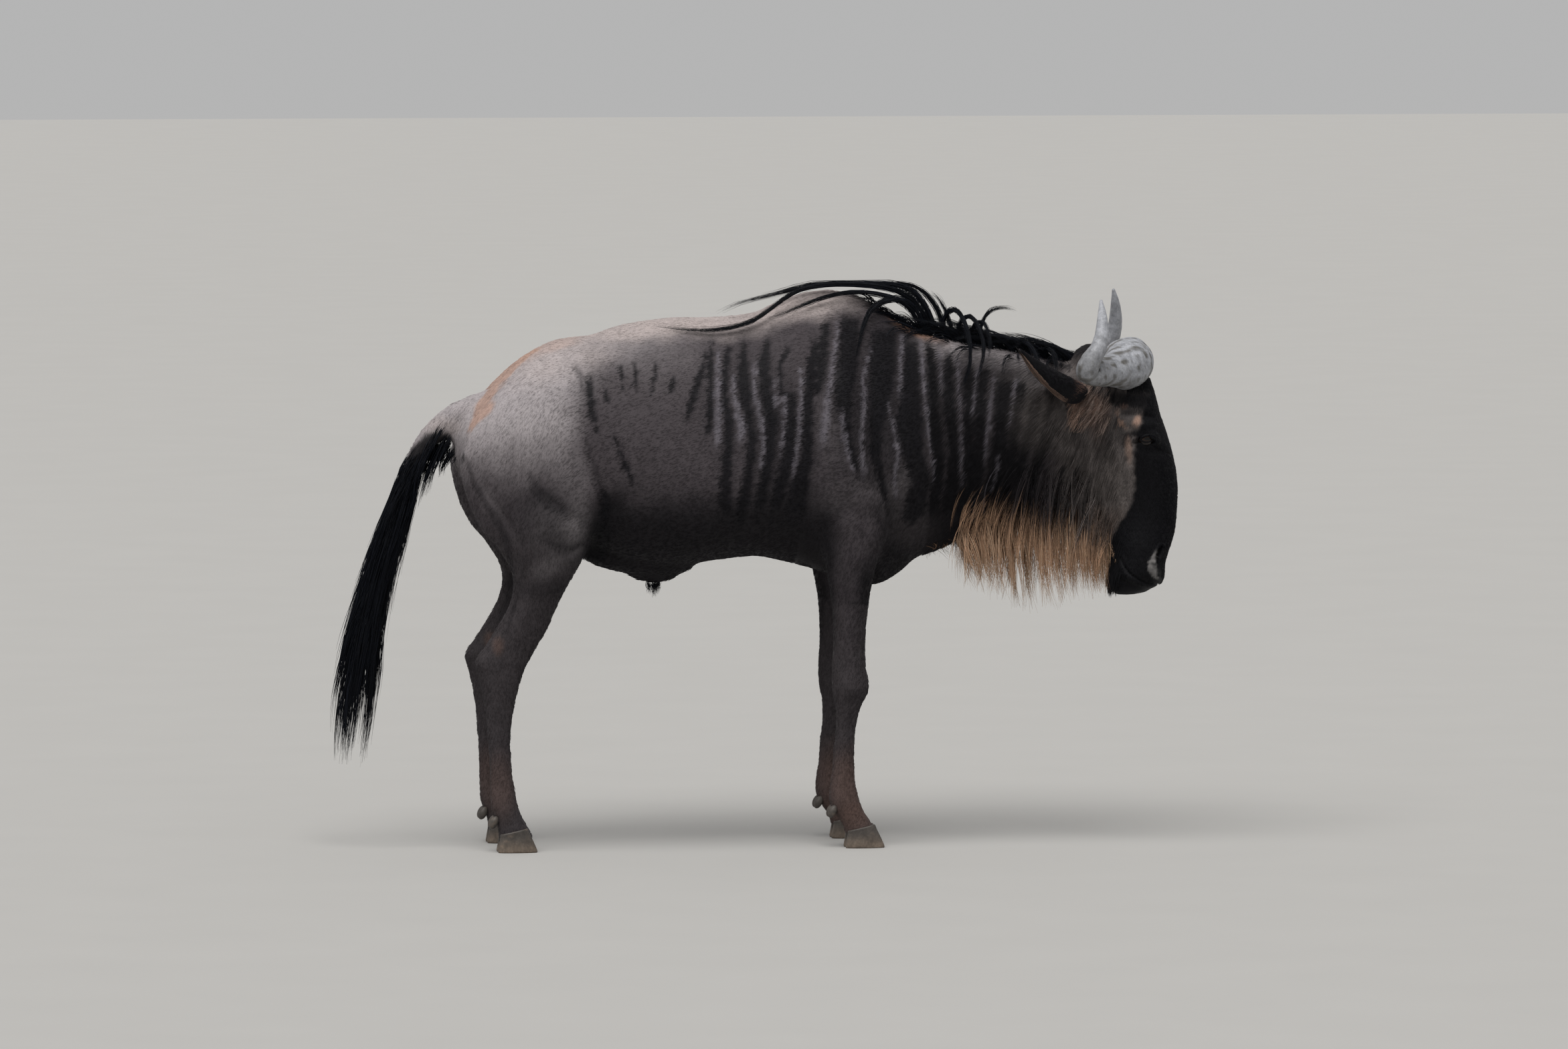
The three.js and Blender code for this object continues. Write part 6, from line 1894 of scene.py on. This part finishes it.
class WILDEBEEST_OT_eyes(bpy.types.Operator):
    """Eyes with level pupils, and their lids"""

    bl_idname = "wildebeest.eyes"
    bl_label = "Eyes"

    def execute(self, context):
        coat = context.scene.wildebeest_coat
        for name, side in SIDES:
            centre = EYE * [1, side, 1]
            look = unit(np.array([0.34, side, 0.05]))
            level = unit(np.cross(look, [0, 0, 1.0])) * side
            upward = np.cross(level, look) * np.sign(np.cross(level, look)[2])
            points, faces = egg(centre, [EYE_RADIUS - 0.3] * 3, 0, 48)
            a, b, deep = [(points - centre) @ axis for axis in (level, upward, look)]
            bulge = np.exp(-((a ** 2 + b ** 2) / 150)) * (deep > 0)
            points = points + look * (1.0 * bulge)[:, None]
            iris = np.hypot(a / 14, b / 12)
            colour = np.tile(linear("140e0c"), (len(points), 1))
            colour = painted(colour, linear("24170f"), smooth(1.0, 0.8, iris) * (deep > 0))
            colour = painted(colour, linear("030303"), smooth(1.1, 0.9, np.hypot(a / 8.5, b / 4.0)) * (deep > 0))
            piece = mesh_of("eyeball_" + name, placed(points, True), faces)
            colour_layer(piece.data, "Markings", colour)
            finish_piece(piece, "eye", "eye", "eye_" + name)
            piece = mesh_of("lids_" + name, *self.lids(centre, look, level, upward))
            colour_layer(piece.data, "Markings", np.tile(np.array(coat.black), (len(piece.data.vertices), 1)))
            finish_piece(piece, "hide", "hide")
            self.lashes(name, centre, look, level, upward)
        return {"FINISHED"}

    def rim(self, centre, look, level, upward, angle, radius):
        """Places on the almond edge of the lids, which lies on a ball just larger than the eye."""
        along = level * (16.5 * raised(np.cos(angle), 1.0))[:, None]
        high = np.where(np.sin(angle) > 0, 7.5, 6.5)
        rise = upward * (high * raised(np.sin(angle), 1.25) + 1.5 * np.cos(angle))[:, None]
        flat = along + rise
        return centre + flat + look * np.sqrt(np.maximum(radius ** 2 - np.sum(flat ** 2, -1), 1))[:, None]

    def lids(self, centre, look, level, upward):
        """A soft band carried round the almond edge, thicker above."""
        steps, sides = 96, 16
        angle = np.linspace(0, 2 * np.pi, steps, endpoint=False)
        edge = self.rim(centre, look, level, upward, angle, EYE_RADIUS + 1.0)
        back = unit(edge - centre)
        along = unit(np.roll(edge, -1, 0) - np.roll(edge, 1, 0))
        out = np.cross(along, back)
        out = out * np.sign(np.sum(out * (edge - centre - look * 17), -1))[:, None]
        thick = 1.3 + 1.3 * smooth(0.1, 0.9, np.sin(angle))
        thick = thick[:, None, None]
        round_by = np.linspace(0, 2 * np.pi, sides, endpoint=False)[None, :, None]
        rings = (
            edge[:, None]
            + out[:, None] * (thick * (0.9 + 1.4 * np.cos(round_by)))
            + back[:, None] * (thick * 0.8 * np.sin(round_by))
        )
        r, s = np.meshgrid(np.arange(steps), np.arange(sides), indexing="ij")
        a, b = r * sides + s, r * sides + (s + 1) % sides
        c, d = (r + 1) % steps * sides + (s + 1) % sides, (r + 1) % steps * sides + s
        faces = np.stack([a, b, c, d], -1).reshape(-1, 4)
        points = rings.reshape(-1, 3)
        tri = points[faces[:, :3]]
        volume = np.einsum("ij,ij->i", tri[:, 0] - centre, np.cross(tri[:, 1] - centre, tri[:, 2] - centre)).sum()
        return placed(points, True), [faces if volume > 0 else faces[:, ::-1]]

    def lashes(self, name, centre, look, level, upward):
        """Short dark hairs along the upper lid, pointing out and down."""
        rng = np.random.default_rng(95)
        count = 46
        angle = np.linspace(0.25, 2.7, count) + rng.normal(size=count) * 0.03
        edge = self.rim(centre, look, level, upward, angle, EYE_RADIUS + 3)
        fan = level * (0.5 * np.cos(angle))[:, None]
        ends = unit(look + 0.5 * upward + rng.normal(size=(count, 3)) * 0.12 + fan)
        guides = bent_lines(edge, ends, unit(ends - upward * 1.1), rng.uniform(7, 12, count), 6)
        hair = bpy.context.scene.wildebeest_hair
        hair_piece(
            "lashes_" + name, guides, hair.mane, hair.mane, rng, guides[:, 0], wide=0.45, whole=True, slot="hide",
        )


class WILDEBEEST_OT_stage(bpy.types.Operator):
    """Floor, soft lights and the camera at the photograph's angle"""

    bl_idname = "wildebeest.stage"
    bl_label = "Stage"

    def execute(self, context):
        scene = context.scene
        scene.view_settings.view_transform = "Standard"
        grid = np.linspace(-1, 1, 3)
        x, y = np.meshgrid(grid * 60, grid * 60, indexing="ij")
        points = np.stack([x, y, 0 * x - 0.0005], -1).reshape(-1, 3)
        face = np.array([[0, 3, 4, 1], [1, 4, 5, 2], [3, 6, 7, 4], [4, 7, 8, 5]])
        floor = mesh_of("floor", points, [face])
        material, tree, principled, place = shader("pale floor", Roughness=0.9, Specular_IOR_Level=0.1)
        base = add_node(tree, "ShaderNodeRGB")
        base.outputs[0].default_value = (*linear("a9a8a6"), 1)
        colour, _ = varied(tree, place, base.outputs[0], scale=3, low=0.99, high=1.01)
        tree.links.new(colour, principled.inputs["Base Color"])
        floor.data.materials.append(material)
        world = bpy.data.worlds.new("soft studio")
        world.use_nodes = True
        background = world.node_tree.nodes["Background"]
        background.inputs["Color"].default_value = (*linear("ffffff"), 1)
        background.inputs["Strength"].default_value = 0.46
        scene.world = world
        sun = bpy.data.lights.new("overhead", "SUN")
        sun.energy, sun.angle, sun.color = 3.0, np.radians(50), linear("fffdfa")
        lamp = bpy.data.objects.new("overhead", sun)
        lamp.rotation_euler = Vector((0.22, 0.42, -0.88)).to_track_quat("-Z", "Y").to_euler()
        scene.collection.objects.link(lamp)
        self.camera(scene)
        return {"FINISHED"}

    def camera(self, scene):
        """A long lens, eight degrees round to the animal's tail and four up."""
        azimuth, rise, away, lens = np.radians(-8), np.radians(4), 25.0, 232.8
        middle_right, middle_up = 75.08, 786.6
        right = np.array([np.cos(azimuth), np.sin(azimuth), 0])
        up = np.array([-np.sin(azimuth) * np.sin(rise), np.cos(azimuth) * np.sin(rise), np.cos(rise)])
        back = np.array([np.sin(azimuth) * np.cos(rise), -np.cos(azimuth) * np.cos(rise), np.sin(rise)])
        target = (right * middle_right + up * middle_up + SHIFT) * MM
        data = bpy.data.cameras.new("camera")
        data.sensor_width, data.lens, data.clip_end = 36.0, lens, 200.0
        camera = bpy.data.objects.new("camera", data)
        camera.location = target + back * away
        camera.rotation_euler = Vector(-back).to_track_quat("-Z", "Y").to_euler()
        scene.collection.objects.link(camera)
        scene.camera = camera


OPERATORS = (
    WILDEBEEST_OT_stage, WILDEBEEST_OT_skin, WILDEBEEST_OT_coat, WILDEBEEST_OT_mane, WILDEBEEST_OT_beard,
    WILDEBEEST_OT_cheek_hair, WILDEBEEST_OT_tail, WILDEBEEST_OT_ears, WILDEBEEST_OT_horns, WILDEBEEST_OT_hooves,
    WILDEBEEST_OT_eyes,
)
GROUPS = {
    "wildebeest_coat": WildebeestCoat, "wildebeest_hair": WildebeestHair, "wildebeest_horn": WildebeestHorn,
}


class WILDEBEEST_PT_panel(bpy.types.Panel):
    """Lists the pieces and their settings"""

    bl_idname = "WILDEBEEST_PT_panel"
    bl_label = "Wildebeest"
    bl_space_type = "VIEW_3D"
    bl_region_type = "UI"
    bl_category = "Wildebeest"

    def draw(self, context):
        for operator in OPERATORS:
            self.layout.operator(operator.bl_idname)
        for name, group in GROUPS.items():
            settings = getattr(context.scene, name)
            for key in group.__annotations__:
                self.layout.prop(settings, key)


def register():
    for made in (*GROUPS.values(), *OPERATORS, WILDEBEEST_PT_panel):
        bpy.utils.register_class(made)
    for name, group in GROUPS.items():
        setattr(bpy.types.Scene, name, bpy.props.PointerProperty(type=group))


def unregister():
    for name in GROUPS:
        delattr(bpy.types.Scene, name)
    for made in reversed((*GROUPS.values(), *OPERATORS, WILDEBEEST_PT_panel)):
        bpy.utils.unregister_class(made)


def main():
    """Registers the add-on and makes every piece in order."""
    register()
    for operator in OPERATORS:
        group, name = operator.bl_idname.split(".")
        getattr(getattr(bpy.ops, group), name)()


if __name__ == "__main__":
    main()
